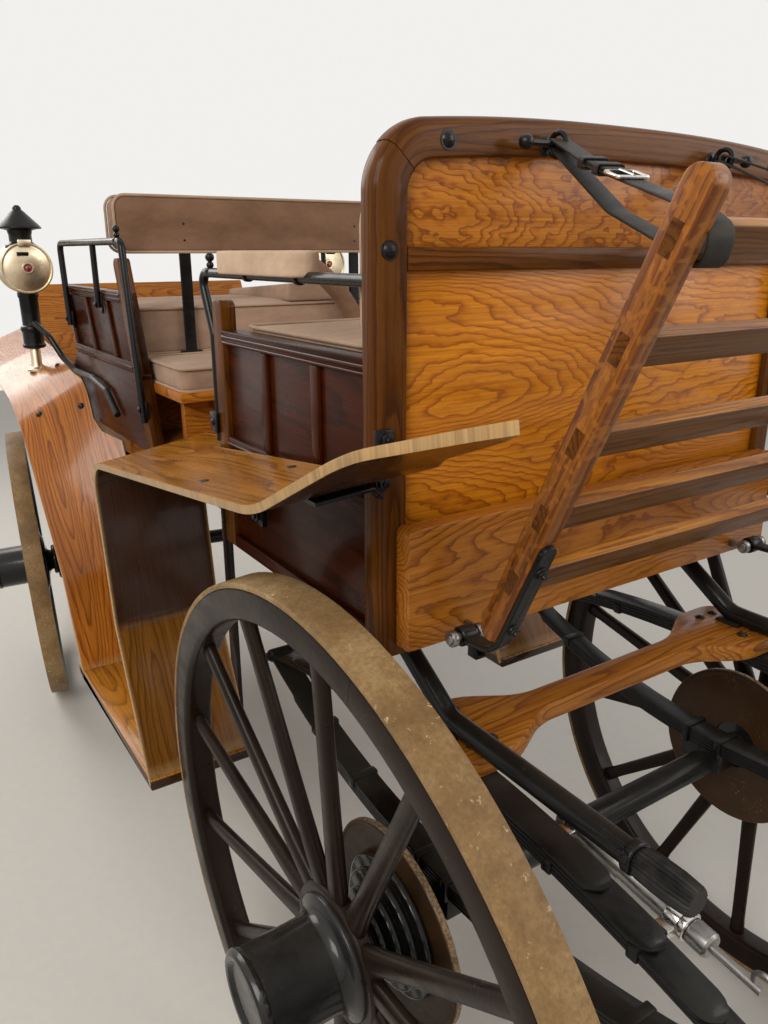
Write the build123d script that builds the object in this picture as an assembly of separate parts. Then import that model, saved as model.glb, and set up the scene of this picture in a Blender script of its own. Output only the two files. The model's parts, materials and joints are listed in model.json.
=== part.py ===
"""Open horse-drawn wagonette with bent mudguards, elliptic springs and a folding luggage rack.

Millimetres. X runs forward from the rear axle, Y to the left, Z up from the ground.
The finished nodes are shifted so that the origin lies under the middle of the carriage.
"""
from build123d import *
import os
from math import cos, radians, sin, sqrt, tan

os.makedirs("parts", exist_ok=True)

# Half the body's width, which the places across the carriage follow
BODY_HALF_WIDTH = 437.0

# Wheels
REAR_RADIUS = 600.0
FRONT_RADIUS = 500.0
WHEELBASE = 2210.0
TREAD_WIDTH = 58.0
TYRE_THICK = 10.0
FELLOE_DEPTH = 52.0
SPOKE_COUNT = {"rear": 14, "front": 12}
SPOKE_PHASE = 10.5
SPOKE_FOOT = 44.0
SPOKE_HEAD = 30.0
SPOKE_THICK = 26.0
SPOKE_TAPER = 2.0
SPOKE_ROUND = 9.0
SPOKE_ROOT = 8.0
WHEEL_CAMBER = 2.3
HUB_MID_Y = BODY_HALF_WIDTH + 124.0
DISH = 14.0
NAVE_FLANGE_RADIUS = 98.0
NAVE_FLANGE_THICK = 8.0
NAVE_RIM = 14.0
CAP_RADIUS = 46.0
CAP_REACH = 118.0
CAP_LIP = 26.0
CAP_COLLAR = 6.0
CONE_STEPS = 3
CONE_STEP_WIDTH = 11.0
CONE_STEP_GROW = 9.0
INNER_CONE_REACH = 74.0
DRUM_RADIUS = 150.0
DRUM_WIDTH = 38.0
DRUM_WALL = 8.0
ARM_RADIUS = 22.0
RUNNING_CLEARANCE = 0.06
WHEEL_END_PLAY = 1.0

# Axles and springs
AXLE_TUBE_RADIUS = 27.0
AXLE_BEARING_GAP = 12.0
COLLAR_RIM = 14.0
SPRING_Y = BODY_HALF_WIDTH - 87.0
SPRING_HALF_LENGTH = 590.0
LEAF_WIDTH = 50.0
LEAF_THICK = 7.0
LEAF_COUNT = 4
LEAF_STEP = 87.0
UPPER_SAGITTA = 74.0
EYE_RADIUS = 13.0
SADDLE_HEIGHT = 14.0
SADDLE_LENGTH = 90.0
DAMPER_Y = SPRING_Y - 65.0
DAMPER_RADIUS = 17.0
DAMPER_ROD_RADIUS = 6.0
DAMPER_FRONT = (-190.0, 866.0)
DAMPER_REAR = (-440.0, 838.0)
DAMPER_ROD_END = (-505.0, 831.0)
CLIP_WIDTH = 24.0
CLIP_HEIGHT = 12.0
CLIPS = (
    # x, z
    (-400.0, 838.0),
    (-230.0, 864.0),
)

# Spring bar and body irons
BAR_MID_X = -15.0
BAR_THICK = 34.0
BAR_MID_WIDTH = 52.0
BAR_END_WIDTH = 165.0
BAR_HALF_LENGTH = SPRING_Y + 50.0
BAR_FLARE_START = SPRING_Y - 160.0
BAR_FLARE_END = SPRING_Y - 65.0
BAR_FLARE_RADIUS = 120.0
BAR_CORNER = 45.0
LOOP_RADIUS = 17.0
LOOP_Z = 948.0
LOOP_BEND = 60.0
LOOP_REAR_X = -375.0
LOOP_BEND_X = -8.0
LOOP_CLAMP_X = 145.0
LOOP_FRONT_X = 235.0
STEP_PAD_LENGTH = 78.0
STEP_PAD_RADIUS = 25.0

# Body
SIDE_THICK = 30.0
SILL_BOTTOM = 1063.0
SILL_HEIGHT = 90.0
SILL_WIDTH = 46.0
SILL_Y = BODY_HALF_WIDTH - 117.0
BEARER_WIDTH = 60.0
BEARER_X = (54.0, 180.0, 620.0, 1040.0, 1500.0, 2120.0, 2240.0)
ENTRY_DECK_Y = BODY_HALF_WIDTH - 57.0
FLOOR_THICK = 18.0
FRAME_REAR_X = 28.0
FRAME_DEPTH = 44.0
FRAME_WIDTH = 50.0
FRAME_TOP = 1787.0
FRAME_CORNER = 85.0
MID_RAIL_TOP = FRAME_TOP - 150.0
MID_RAIL_HEIGHT = 30.0
PANEL_THICK = 16.0
PANEL_INSET = 10.0
TAIL_BOARD_THICK = 32.0
TAIL_BOARD_BOTTOM = 1080.0
TAIL_BOARD_TOP = 1266.0
TAIL_BOARD_CORNER = 20.0

# Rear compartment
REAR_SIDE_FRONT_X = 640.0
REAR_SIDE_TOP = 1492.0
SIDE_PANEL_INSET = 9.0
SIDE_PANEL_BOTTOM = 1290.0
BATTEN_WIDTH = 26.0
MOULDING_HEIGHT = 26.0
POST_WIDTH = 46.0
POST_ROUND = 16.0
REAR_POST_TOP = 1546.0
REAR_SEAT_TOP = 1420.0
REAR_SEAT_FRONT_X = 560.0
SEAT_BOARD_THICK = 24.0
REAR_CUSHION_THICK = 82.0
REAR_BACK_TOP = FRAME_TOP - 75.0
REAR_BACK_FRONT_X = 132.0
REAR_BACK_HALF = BODY_HALF_WIDTH - 17.0
CUSHION_OVERHANG = 15.0
CUSHION_ROUND = 14.0
SOFT_GAP = 0.3

# Front compartment
FRONT_POST_FOOT_X = 1071.0
FRONT_POST_LEAN = 19.0
FRONT_POST_TOP = 1617.0
FRONT_SIDE_TOP = 1536.0
FRONT_SIDE_BOTTOM = 1342.0
FRONT_PANEL_FOOT_X = 1760.0
FRONT_PANEL_HEAD_X = 1850.0
FRONT_LOWER_FRONT_X = 1880.0
FRONT_LOWER_BOTTOM = 1150.0
FRONT_LOWER_BEND = 1260.0
FRONT_SEAT_TOP = 1375.0
FRONT_SEAT_REAR_X = 1250.0
FRONT_SEAT_FRONT_X = 1800.0
FRONT_CUSHION_REAR_X = 1272.0
FRONT_CUSHION_TOP = FRONT_SEAT_TOP + 119.0
MIDDLE_SEAT_TOP = 1322.0
MIDDLE_SEAT_REAR_X = 940.0
MIDDLE_RISER_X = 1000.0
MIDDLE_CUSHION_THICK = 53.0
CUSHION_HALF = BODY_HALF_WIDTH - 34.0
BACK_CUSHION_BOTTOM = 1646.0
BACK_CUSHION_TOP = 1770.0
BACK_CUSHION_REAR_X = 1252.0
BACK_CUSHION_FRONT_X = 1330.0
BACK_CUSHION_HALF = BODY_HALF_WIDTH - 1.0
BACK_STAY_X = 1258.0
BACK_STAY_Y = BODY_HALF_WIDTH - 182.0
BACK_STAY_WIDTH = 30.0
BACK_STAY_THICK = 9.0
STAY_FLANGE = 15.0
STAY_FLANGE_THICK = 6.0
WEDGE_REAR_X = 1300.0
WEDGE_FRONT_X = 1740.0
WEDGE_TOP = FRONT_CUSHION_TOP + 51.0
WEDGE_FRONT_TOP = FRONT_CUSHION_TOP + 21.0
WEDGE_INNER_Y = -60.0
ROLL_RADIUS = 27.0
ROLL_X = BACK_STAY_X - ROLL_RADIUS - SOFT_GAP
ROLL_HEAD = (-60.0, 1612.0)
ROLL_MID = (-175.0, 1530.0)
ROLL_FOOT = (-262.0, 1395.0)
TOE_FOOT_X = 2330.0
TOE_ROOT_BOTTOM = 1090.0
TOE_BEND_Z = 1180.0
TOE_TOP = 1515.0
TOE_LEAN = 27.0
TOE_THICK = 26.0

# Irons of the seats
RAIL_RADIUS = 9.0
RAIL_BEND = 22.0
RAIL_BALLS = (
    # height over the rail, radius
    (14.0, 7.0),
    (28.0, 8.5),
)
REAR_RAIL_Z = FRAME_TOP - 193.0
REAR_RAIL_FRONT_X = 702.0
REAR_RAIL_KNEE_Z = REAR_RAIL_Z - 114.0
REAR_RAIL_FOOT_Z = 1272.0
REAR_RAIL_BALL_X = 650.0
FRONT_RAIL_Z = 1656.0
FRONT_RAIL_REAR_X = 1160.0
FRONT_RAIL_FOOT = (1108.0, 1230.0)
FRONT_RAIL_FRONT_X = 1790.0
FRONT_RAIL_FRONT_FOOT = (1768.0, 1420.0)
FRONT_RAIL_MID_X = 1420.0
FRONT_RAIL_MID_Z = 1490.0
ARM_PAD_REAR_X = 228.0
ARM_PAD_FRONT_X = 548.0
ARM_PAD_WIDTH = 78.0
ARM_PAD_THICK = 40.0

# Mudguards, steps and lamps
GUARD_OUTER_Y = BODY_HALF_WIDTH + 193.0
GUARD_INNER_Y = BODY_HALF_WIDTH - 49.0
GUARD_BODY_Y = BODY_HALF_WIDTH + 10.0
GUARD_THICK = 12.0
GUARD_TAIL_START = 60.0
GUARD_TAIL_INNER_Y = GUARD_OUTER_Y - 70.0
GUARD_TAIL_OUTER_Y = GUARD_OUTER_Y - 20.0
GUARD_TAPER_X = -200.0
GUARD_IRON_THICK = 6.0
GUARD_IRON_REACH = 95.0
REAR_GUARD_RADII = [120.0, 62.0, 300.0]
REAR_GUARD = (
    # x, z of the outer edge, x shift and z shift of the inner edge
    (700.0, 505.0, 0.0, 0.0),
    (850.0, 830.0, 0.0, 0.0),
    (905.0, 1195.0, 0.0, 38.0),
    (90.0, 1308.0, 0.0, 38.0),
    (-430.0, 1511.0, 0.0, 38.0),
)
FRONT_GUARD_RADII = [300.0, 150.0, 300.0, 800.0]
FRONT_GUARD = (
    # x, z of the outer edge, x shift and z shift of the inner edge
    (1285.0, 500.0, 0.0, 0.0),
    (1400.0, 760.0, -10.0, 20.0),
    (1740.0, 1130.0, -120.0, 155.0),
    (1860.0, 1190.0, -100.0, 150.0),
    (2150.0, 1240.0, 0.0, 125.0),
    (2600.0, 1270.0, 0.0, 100.0),
)
REAR_GUARD_IRONS = (
    # x0, x1, bottom, top of the plate on the body
    (33.0, 73.0, 1318.0, 1404.0),
    (435.0, 465.0, 1150.0, 1284.0),
)
FRONT_GUARD_IRONS = (
    # x0, x1, bottom, top of the plate on the body
    (1835.0, 1865.0, 1170.0, 1296.0),
    (2180.0, 2220.0, 1150.0, 1325.0),
)
STEP_REAR_X = 690.0
STEP_FRONT_X = 1330.0
STEP_TOP = 520.0
STEP_THICK = 26.0
HANGER_X = (780.0, 960.0)
HANGER_WIDTH = 40.0
HANGER_THICK = 10.0
HANGER_TOP = 1130.0
HANGER_REACH = GUARD_OUTER_Y - 30.0
LAMP_X = 1945.0
LAMP_Y = BODY_HALF_WIDTH + 88.0
LAMP_Z = 1585.0
LAMP_RADIUS = 75.0
LAMP_LENGTH = 104.0
LAMP_STACK = (
    # radius, bottom, top of each round part about the lamp's upright
    (11.0, 1180.0, 1340.0),
    (24.0, 1340.0, 1400.0),
    (14.0, 1400.0, 1530.0),
    (34.0, 1640.0, 1700.0),
    (56.0, 1700.0, 1712.0),
    (30.0, 1712.0, 1742.0),
    (10.0, 1742.0, 1760.0),
)

# Fore-carriage
STEER_REST = -9.0
FORE_SPRING_TOP = 773.0
FORE_BAR_THICK = 60.0
FORE_BAR_WIDTH = 90.0
FORE_BAR_HALF = SPRING_Y + 45.0
FUTCHELL_Y = 190.0
FUTCHELL_WIDTH = 52.0
FUTCHELL_DEPTH = 60.0
FUTCHELL_FRONT = 560.0
FUTCHELL_REAR = 330.0
COUPLING_BORE_RADIUS = 10.0
COUPLING_INSET = 45.0
RING_RADIUS = 240.0
RING_WIDTH = 44.0
RING_THICK = 12.0
TURN_GAP = 0.3
KINGPIN_RADIUS = 16.0
KINGPIN_NUT_RADIUS = 27.0
KINGPIN_NUT_HEIGHT = 22.0
KINGPIN_NUT_GAP = 5.0
BED_WIDTH = 90.0
BED_CROSS_WIDTH = 110.0

# Luggage rack
RACK_PIVOT = (-34.0, 1100.0)
RACK_ARM_Y = BODY_HALF_WIDTH - 91.0
RACK_ARM_THICK = 28.0
RACK_ARM_DEPTH = 44.0
RACK_FOOT = (-100.0, 1140.0)
RACK_TIP = (-358.0, 1690.0)
SLAT_Z = (1237.0, 1336.0, 1440.0, 1552.0, 1650.0)
SLAT_REAR = 30.0
SLAT_FRONT = 20.0
SLAT_THICK = 22.0
HINGE_PIN_RADIUS = 8.0
BARREL_RADIUS = 15.0
BARREL_WIDTH = 26.0
HINGE_IRON_THICK = 8.0
HINGE_ELBOW = (-66.0, 1146.0)
HINGE_TOP = (-140.0, 1289.0)
LUG_THICK = 12.0
LUG_GAP = 5.0
LUG_HALF = 17.0
STRAP_EYE_Y = 180.0
STRAP_SLAT_Y = RACK_ARM_Y - 34.0
STRAP_WIDTH = 28.0
STRAP_THICK = 4.0
STRAP_SAG = 22.0
EYE_RING_RADIUS = 15.0
EYE_WIRE_RADIUS = 4.0
EYE_OFFSET = 24.0
BOLT_RADIUS = 11.0
BOLT_HEAD = 5.0
FRAME_BOLTS = (
    # y, z
    (RACK_ARM_Y, FRAME_TOP - 25.0),
    (BODY_HALF_WIDTH - 25.0, FRAME_TOP - 154.0),
)

# Worked out from the sizes above
DECK_Z = SILL_BOTTOM + SILL_HEIGHT
DECK_TOP = DECK_Z + FLOOR_THICK
SIDE_INNER = BODY_HALF_WIDTH - SIDE_THICK
PANEL_OUTER = BODY_HALF_WIDTH - SIDE_PANEL_INSET
FRAME_FRONT_X = FRAME_REAR_X + FRAME_DEPTH
FRAME_INNER = BODY_HALF_WIDTH - FRAME_WIDTH
PANEL_REAR_X = FRAME_REAR_X + PANEL_INSET
PANEL_FRONT_X = PANEL_REAR_X + PANEL_THICK
BAR_TOP = LOOP_Z - LOOP_RADIUS
BAR_BOTTOM = BAR_TOP - BAR_THICK
REAR_RAIL_Y = BODY_HALF_WIDTH - RAIL_RADIUS + 2
FRONT_RAIL_Y = BODY_HALF_WIDTH + RAIL_RADIUS + 0.2
FORE_BAR_TOP = FORE_SPRING_TOP + FORE_BAR_THICK
RING_BOTTOM = FORE_BAR_TOP + FUTCHELL_DEPTH
BED_BOTTOM = RING_BOTTOM + RING_THICK + TURN_GAP
CAMBER_COS = cos(radians(WHEEL_CAMBER))
CAMBER_SIN = sin(radians(WHEEL_CAMBER))


def block(x0, x1, y0, y1, z0, z1):
    """A box between two corners."""
    size = (x1 - x0, y1 - y0, z1 - z0)
    return Pos((x0 + x1) / 2, (y0 + y1) / 2, (z0 + z1) / 2) * Box(*size)


def cushion(x0, x1, y0, y1, z0, z1):
    """A soft block with rounded edges."""
    body = block(x0, x1, y0, y1, z0, z1)
    return fillet(body.edges(), CUSHION_ROUND)


def side_face(sketch, y0, y1):
    """A sketch in X and Z, given thickness from y0 to y1."""
    return Pos(0, y1, 0) * extrude(Plane.XZ * sketch, y1 - y0)


def side_plate(points, y0, y1):
    """A flat outline in X and Z, given thickness from y0 to y1."""
    return side_face(make_face(Polyline(*points, close=True)), y0, y1)


def plan_plate(points, z0, z1):
    """A flat outline in X and Y, given thickness from z0 to z1."""
    face = make_face(Polyline(*points, close=True))
    return Pos(0, 0, z0) * extrude(face, z1 - z0)


def end_plate(sketch, x0, x1):
    """A sketch in Y and Z, given thickness from x0 to x1."""
    return Pos(x0, 0, 0) * extrude(Plane.YZ * sketch, x1 - x0)


def bar_between(a, b, radius):
    """A straight round bar from point a to point b."""
    run = Vector(*b) - Vector(*a)
    return extrude(Plane(origin=a, z_dir=run) * Circle(radius), run.length)


def side_rod(points, bend, radius, y):
    """A round iron along a path of straight runs and arcs in X and Z."""
    path = Plane.XZ * FilletPolyline(*points, radius=bend)
    section = Plane(origin=path @ 0, z_dir=path % 0) * Circle(radius)
    return Pos(0, y, 0) * sweep(section, path=path)


def mirrored(shape):
    """The same piece on the other side of the carriage."""
    return mirror(shape, about=Plane.XZ)


def pair(*shapes):
    """Pieces with their mirror images, as one node."""
    return Compound([*shapes, *(mirrored(shape) for shape in shapes)])


def unmoved(shape):
    """Leave a piece as it was drawn."""
    return shape


def turned(shape):
    """The fore-carriage as it stands, turned a little about its kingpin."""
    return Pos(WHEELBASE, 0, 0) * Rot(0, 0, STEER_REST) * Pos(-WHEELBASE, 0, 0) * shape


def biggest(shape):
    """The largest solid of a cut piece."""
    return shape.solids().sort_by(SortBy.VOLUME)[-1]


def wheel_place(radius, x, left):
    """The place of a wheel's own frame, whose Z axis points outwards along the axle arm."""
    side = 1 if left else -1
    return Pos(x, side * HUB_MID_Y, radius * CAMBER_COS) * Rot(-side * (90 + WHEEL_CAMBER), 0, 0)


def disc_ring(outer, inner, z0, z1):
    """A flat ring about the wheel's own axis."""
    return Pos(0, 0, z0) * extrude(Circle(outer) - Circle(inner), z1 - z0)


def band(outer, inner, width):
    """A hoop about the wheel's own axis, coned so that a tilted wheel stands flat."""
    half = width / 2
    cone = half * tan(radians(WHEEL_CAMBER))
    points = [(inner + cone, -half), (outer + cone, -half), (outer - cone, half), (inner - cone, half)]
    return revolve(Plane.XZ * make_face(Polyline(*points, close=True)), Axis.Z)


def wheel_nodes(radius, count):
    """Rim with spokes, tyre, and metal hub with drum, in the wheel's own frame."""
    rim_outer = radius - TYRE_THICK
    rim_inner = rim_outer - FELLOE_DEPTH
    tyre = band(radius, rim_outer, TREAD_WIDTH)
    wood = band(rim_outer, rim_inner, TREAD_WIDTH)
    hub_in = -DISH - SPOKE_THICK / 2
    hub_out = -DISH + SPOKE_THICK / 2
    wood += disc_ring(NAVE_FLANGE_RADIUS + NAVE_RIM, CAP_RADIUS, hub_in, hub_out)
    foot_x = NAVE_FLANGE_RADIUS + SPOKE_ROOT
    head_x = rim_inner + FELLOE_DEPTH / 3
    foot = Plane(origin=(foot_x, 0, -DISH), x_dir=(0, 1, 0), z_dir=(1, 0, 0))
    head = Plane(origin=(head_x, 0, 0), x_dir=(0, 1, 0), z_dir=(1, 0, 0))
    spoke_thick = SPOKE_THICK - 2 * SPOKE_TAPER
    foot_face = foot * RectangleRounded(SPOKE_FOOT, spoke_thick, SPOKE_ROUND)
    head_face = head * RectangleRounded(SPOKE_HEAD, spoke_thick, SPOKE_ROUND)
    spoke = loft([foot_face, head_face], ruled=True)
    for i in range(count):
        wood += Rot(0, 0, SPOKE_PHASE + 360.0 / count * i) * spoke
    bore = ARM_RADIUS + RUNNING_CLEARANCE
    cap_base = CAP_REACH - CAP_LIP
    cap_mid = cap_base + CAP_LIP / 2
    hub = disc_ring(CAP_RADIUS, bore, -INNER_CONE_REACH, cap_base)
    hub += disc_ring(NAVE_FLANGE_RADIUS, bore, hub_out, hub_out + NAVE_FLANGE_THICK)
    hub += disc_ring(NAVE_FLANGE_RADIUS, bore, hub_in - NAVE_FLANGE_THICK, hub_in)
    hub += Pos(0, 0, cap_base) * extrude(Circle(CAP_RADIUS + CAP_COLLAR), CAP_LIP / 2)
    hub += Pos(0, 0, cap_mid) * extrude(Circle(CAP_RADIUS - CAP_COLLAR), CAP_LIP / 2)
    cone_z = hub_in - NAVE_FLANGE_THICK
    for step in range(CONE_STEPS):
        grow = CONE_STEP_GROW * (CONE_STEPS - step)
        low = cone_z - CONE_STEP_WIDTH * (step + 1)
        hub += disc_ring(CAP_RADIUS + grow, bore, low, low + CONE_STEP_WIDTH)
    drum_in = -INNER_CONE_REACH
    hub += disc_ring(DRUM_RADIUS, bore, drum_in - DRUM_WALL, drum_in)
    hub += disc_ring(DRUM_RADIUS, DRUM_RADIUS - DRUM_WALL, drum_in - DRUM_WIDTH, drum_in)
    return wood, tyre, hub


def axle_arm():
    """The arm that carries a wheel, with its collar, in the wheel's own frame."""
    inner = -INNER_CONE_REACH - DRUM_WALL - WHEEL_END_PLAY
    outer = CAP_REACH - CAP_LIP - WHEEL_END_PLAY
    arm = Pos(0, 0, inner) * extrude(Circle(ARM_RADIUS), outer - inner)
    collar = extrude(Circle(ARM_RADIUS + COLLAR_RIM), AXLE_BEARING_GAP)
    return arm + Pos(0, 0, inner - AXLE_BEARING_GAP) * collar


def axle(radius, x):
    """A tube between the wheels with both arms and the saddles of the springs."""
    reach = INNER_CONE_REACH + DRUM_WALL + WHEEL_END_PLAY + AXLE_BEARING_GAP / 2
    end_y = HUB_MID_Y - reach * CAMBER_COS
    end_z = radius * CAMBER_COS + reach * CAMBER_SIN
    tube = bar_between((x, -end_y, end_z), (x, end_y, end_z), AXLE_TUBE_RADIUS)
    for left in (True, False):
        tube += wheel_place(radius, x, left) * axle_arm()
    top = end_z + AXLE_TUBE_RADIUS + SADDLE_HEIGHT
    half = SADDLE_LENGTH / 2
    inner = SPRING_Y - LEAF_WIDTH / 2
    saddle = block(x - half, x + half, inner, inner + LEAF_WIDTH, end_z, top)
    return tube + saddle + mirrored(saddle), top


def leaf_spring(x, bottom_z, top_z):
    """A full elliptic spring with its shorter leaves stacked outside the long ones."""
    stack = LEAF_THICK * (LEAF_COUNT - 0.5)
    eye_z = top_z - stack - UPPER_SAGITTA
    lower_sagitta = eye_z - bottom_z - stack
    solid = None
    for rise, sagitta in ((1, UPPER_SAGITTA), (-1, lower_sagitta)):
        bow = (SPRING_HALF_LENGTH**2 + sagitta**2) / (2 * sagitta)
        for i in range(LEAF_COUNT):
            half = SPRING_HALF_LENGTH - LEAF_STEP * i
            reach = bow + LEAF_THICK * i
            foot = eye_z + rise * (sagitta - bow + sqrt(reach**2 - half**2))
            crown = eye_z + rise * (sagitta - bow + reach)
            arc = ThreePointArc((x - half, foot), (x, crown), (x + half, foot))
            leaf = side_face(trace(arc, LEAF_THICK), -LEAF_WIDTH / 2, LEAF_WIDTH / 2)
            if i:
                tongue = Pos(x, 0) * SlotOverall(2 * half, LEAF_WIDTH)
                leaf = leaf & extrude(tongue, 2 * top_z)
            solid = leaf if solid is None else solid + leaf
    for end in (-1, 1):
        place = Pos(x + end * SPRING_HALF_LENGTH, 0, eye_z) * Rot(90, 0, 0)
        solid += place * Cylinder(EYE_RADIUS, LEAF_WIDTH)
    return Pos(0, SPRING_Y, 0) * solid


def bent_guard(table, radii):
    """A mudguard bent in one sheet, whose inner edge stands off from its outer edge."""
    outer = [(x, z) for x, z, dx, dz in table]
    inner = [(x + dx, z + dz) for x, z, dx, dz in table]
    faces = []
    for points, y in ((outer, GUARD_OUTER_Y), (inner, GUARD_INNER_Y)):
        strip = trace(FilletPolyline(*points, radius=radii), GUARD_THICK)
        faces.append(Pos(0, y, 0) * (Plane.XZ * strip).face())
    return loft(faces, ruled=True)


def guard_iron(guard, x0, x1, bottom, top):
    """A plate on the body's side with a foot that bears the guard from below."""
    reach = block(x0, x1, GUARD_BODY_Y, GUARD_BODY_Y + GUARD_IRON_REACH, 0, FRAME_TOP)
    foot = (Pos(0, 0, -GUARD_IRON_THICK) * guard & reach) - guard
    plate = block(x0, x1, BODY_HALF_WIDTH, GUARD_BODY_Y, bottom, top)
    return biggest(plate + foot)


NODES = {}


def add(name, shape):
    """Keep a finished node under its name."""
    NODES[name] = shape


def add_sides(name, shape):
    """Keep a piece of the left side and its mirror image as two nodes."""
    add(f"{name}_left", shape)
    add(f"{name}_right", mirrored(shape))


# Wheels and axles
ENDS = (
    # name, radius, x, placing
    ("rear", REAR_RADIUS, 0.0, unmoved),
    ("front", FRONT_RADIUS, WHEELBASE, turned),
)
SADDLE_TOP = {}
for end, radius, x, settle in ENDS:
    wood, tyre, hub = wheel_nodes(radius, SPOKE_COUNT[end])
    for side, left in (("left", True), ("right", False)):
        place = wheel_place(radius, x, left)
        add(f"{end}_wheel_{side}", settle(place * wood))
        add(f"{end}_tyre_{side}", settle(place * tyre))
        add(f"{end}_hub_{side}", settle(place * hub))
    tube, SADDLE_TOP[end] = axle(radius, x)
    add(f"{end}_axle", settle(tube))

# Rear springs, the bar across them and the irons that carry the body
add("rear_springs", pair(leaf_spring(0, SADDLE_TOP["rear"], BAR_BOTTOM)))
half_bar = [(BAR_MID_WIDTH / 2, 0), (BAR_MID_WIDTH / 2, BAR_FLARE_START)]
half_bar += [(BAR_END_WIDTH / 2, BAR_FLARE_END), (BAR_END_WIDTH / 2, BAR_HALF_LENGTH)]
half_bar += [(-x, y) for x, y in reversed(half_bar)]
bar = plan_plate(half_bar, BAR_BOTTOM, BAR_TOP)
bar += mirrored(bar)
corners = [edge for edge in bar.edges().filter_by(Axis.Z) if abs(edge.center().Y) > BAR_FLARE_END + 1]
bar = fillet(corners, BAR_CORNER)
flares = [
    edge
    for edge in bar.edges().filter_by(Axis.Z)
    if BAR_FLARE_START - 1 < abs(edge.center().Y) < BAR_FLARE_END + 1
]
bar = fillet(flares, BAR_FLARE_RADIUS)
add("hind_spring_bar", Pos(BAR_MID_X, 0, 0) * bar)

loop_path = (
    (LOOP_FRONT_X, SILL_BOTTOM - LOOP_RADIUS),
    (LOOP_CLAMP_X, SILL_BOTTOM - LOOP_RADIUS),
    (LOOP_BEND_X, LOOP_Z),
    (LOOP_REAR_X, LOOP_Z),
)
add("body_loops", pair(side_rod(loop_path, LOOP_BEND, LOOP_RADIUS, SPRING_Y)))
pad_rear = LOOP_REAR_X - STEP_PAD_LENGTH
pad = bar_between((pad_rear, SPRING_Y, LOOP_Z), (LOOP_REAR_X, SPRING_Y, LOOP_Z), STEP_PAD_RADIUS)
add("step_pads", pair(pad))


def damper_point(place):
    """A point on a damper's own line from its X and Z."""
    return (place[0], DAMPER_Y, place[1])


damper = bar_between(damper_point(DAMPER_REAR), damper_point(DAMPER_FRONT), DAMPER_RADIUS)
damper += bar_between(damper_point(DAMPER_ROD_END), damper_point(DAMPER_REAR), DAMPER_ROD_RADIUS)
for clip_x, clip_z in CLIPS:
    low = clip_z - CLIP_HEIGHT / 2
    clip_end = SPRING_Y - LEAF_WIDTH / 2
    damper += block(clip_x, clip_x + CLIP_WIDTH, DAMPER_Y, clip_end, low, low + CLIP_HEIGHT)
add("spring_dampers", pair(damper))

# Floor frame and deck
deck_half = [
    (PANEL_FRONT_X, 0),
    (PANEL_FRONT_X, FRAME_INNER),
    (FRAME_FRONT_X, FRAME_INNER),
    (FRAME_FRONT_X, SIDE_INNER),
    (REAR_SIDE_FRONT_X, SIDE_INNER),
    (REAR_SIDE_FRONT_X, ENTRY_DECK_Y),
    (FRONT_POST_FOOT_X, ENTRY_DECK_Y),
    (FRONT_POST_FOOT_X, SIDE_INNER),
    (FRONT_LOWER_FRONT_X, SIDE_INNER),
    (FRONT_LOWER_FRONT_X, BODY_HALF_WIDTH),
    (TOE_FOOT_X, BODY_HALF_WIDTH),
    (TOE_FOOT_X, 0),
]
floor = plan_plate(deck_half, DECK_Z, DECK_TOP)
floor += block(FRAME_FRONT_X, TOE_FOOT_X, SILL_Y, SILL_Y + SILL_WIDTH, SILL_BOTTOM, DECK_Z)
for bearer_x in BEARER_X:
    floor += block(bearer_x, bearer_x + BEARER_WIDTH, 0, ENTRY_DECK_Y, SILL_BOTTOM, DECK_Z)
add("floor", floor + mirrored(floor))

# Rear frame, panel and tail board
frame_height = FRAME_TOP - SILL_BOTTOM
frame_outer = RectangleRounded(2 * BODY_HALF_WIDTH, 2 * frame_height, FRAME_CORNER)
inner_height = frame_height - FRAME_WIDTH
frame_inner = RectangleRounded(2 * FRAME_INNER, 2 * inner_height, FRAME_CORNER - FRAME_WIDTH)
upper = Pos(0, frame_height / 2) * Rectangle(3 * BODY_HALF_WIDTH, frame_height)
frame = end_plate((frame_outer - frame_inner) & upper, FRAME_REAR_X, FRAME_FRONT_X)
add("rear_frame", Pos(0, 0, SILL_BOTTOM) * frame)
panel = Pos(0, 0, SILL_BOTTOM) * end_plate(frame_inner & upper, PANEL_REAR_X, PANEL_FRONT_X)
rail_low = MID_RAIL_TOP - MID_RAIL_HEIGHT
panel += block(FRAME_REAR_X, PANEL_REAR_X, -FRAME_INNER, FRAME_INNER, rail_low, MID_RAIL_TOP)
add("rear_panel", panel)
tail_face = Rectangle(2 * BODY_HALF_WIDTH, TAIL_BOARD_TOP - TAIL_BOARD_BOTTOM)
tail_face = fillet(tail_face.vertices().group_by(Axis.Y)[-1], TAIL_BOARD_CORNER)
tail_mid = (TAIL_BOARD_TOP + TAIL_BOARD_BOTTOM) / 2
tail_rear_x = FRAME_REAR_X - TAIL_BOARD_THICK
add("tail_board", Pos(0, 0, tail_mid) * end_plate(tail_face, tail_rear_x, FRAME_REAR_X))

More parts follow.
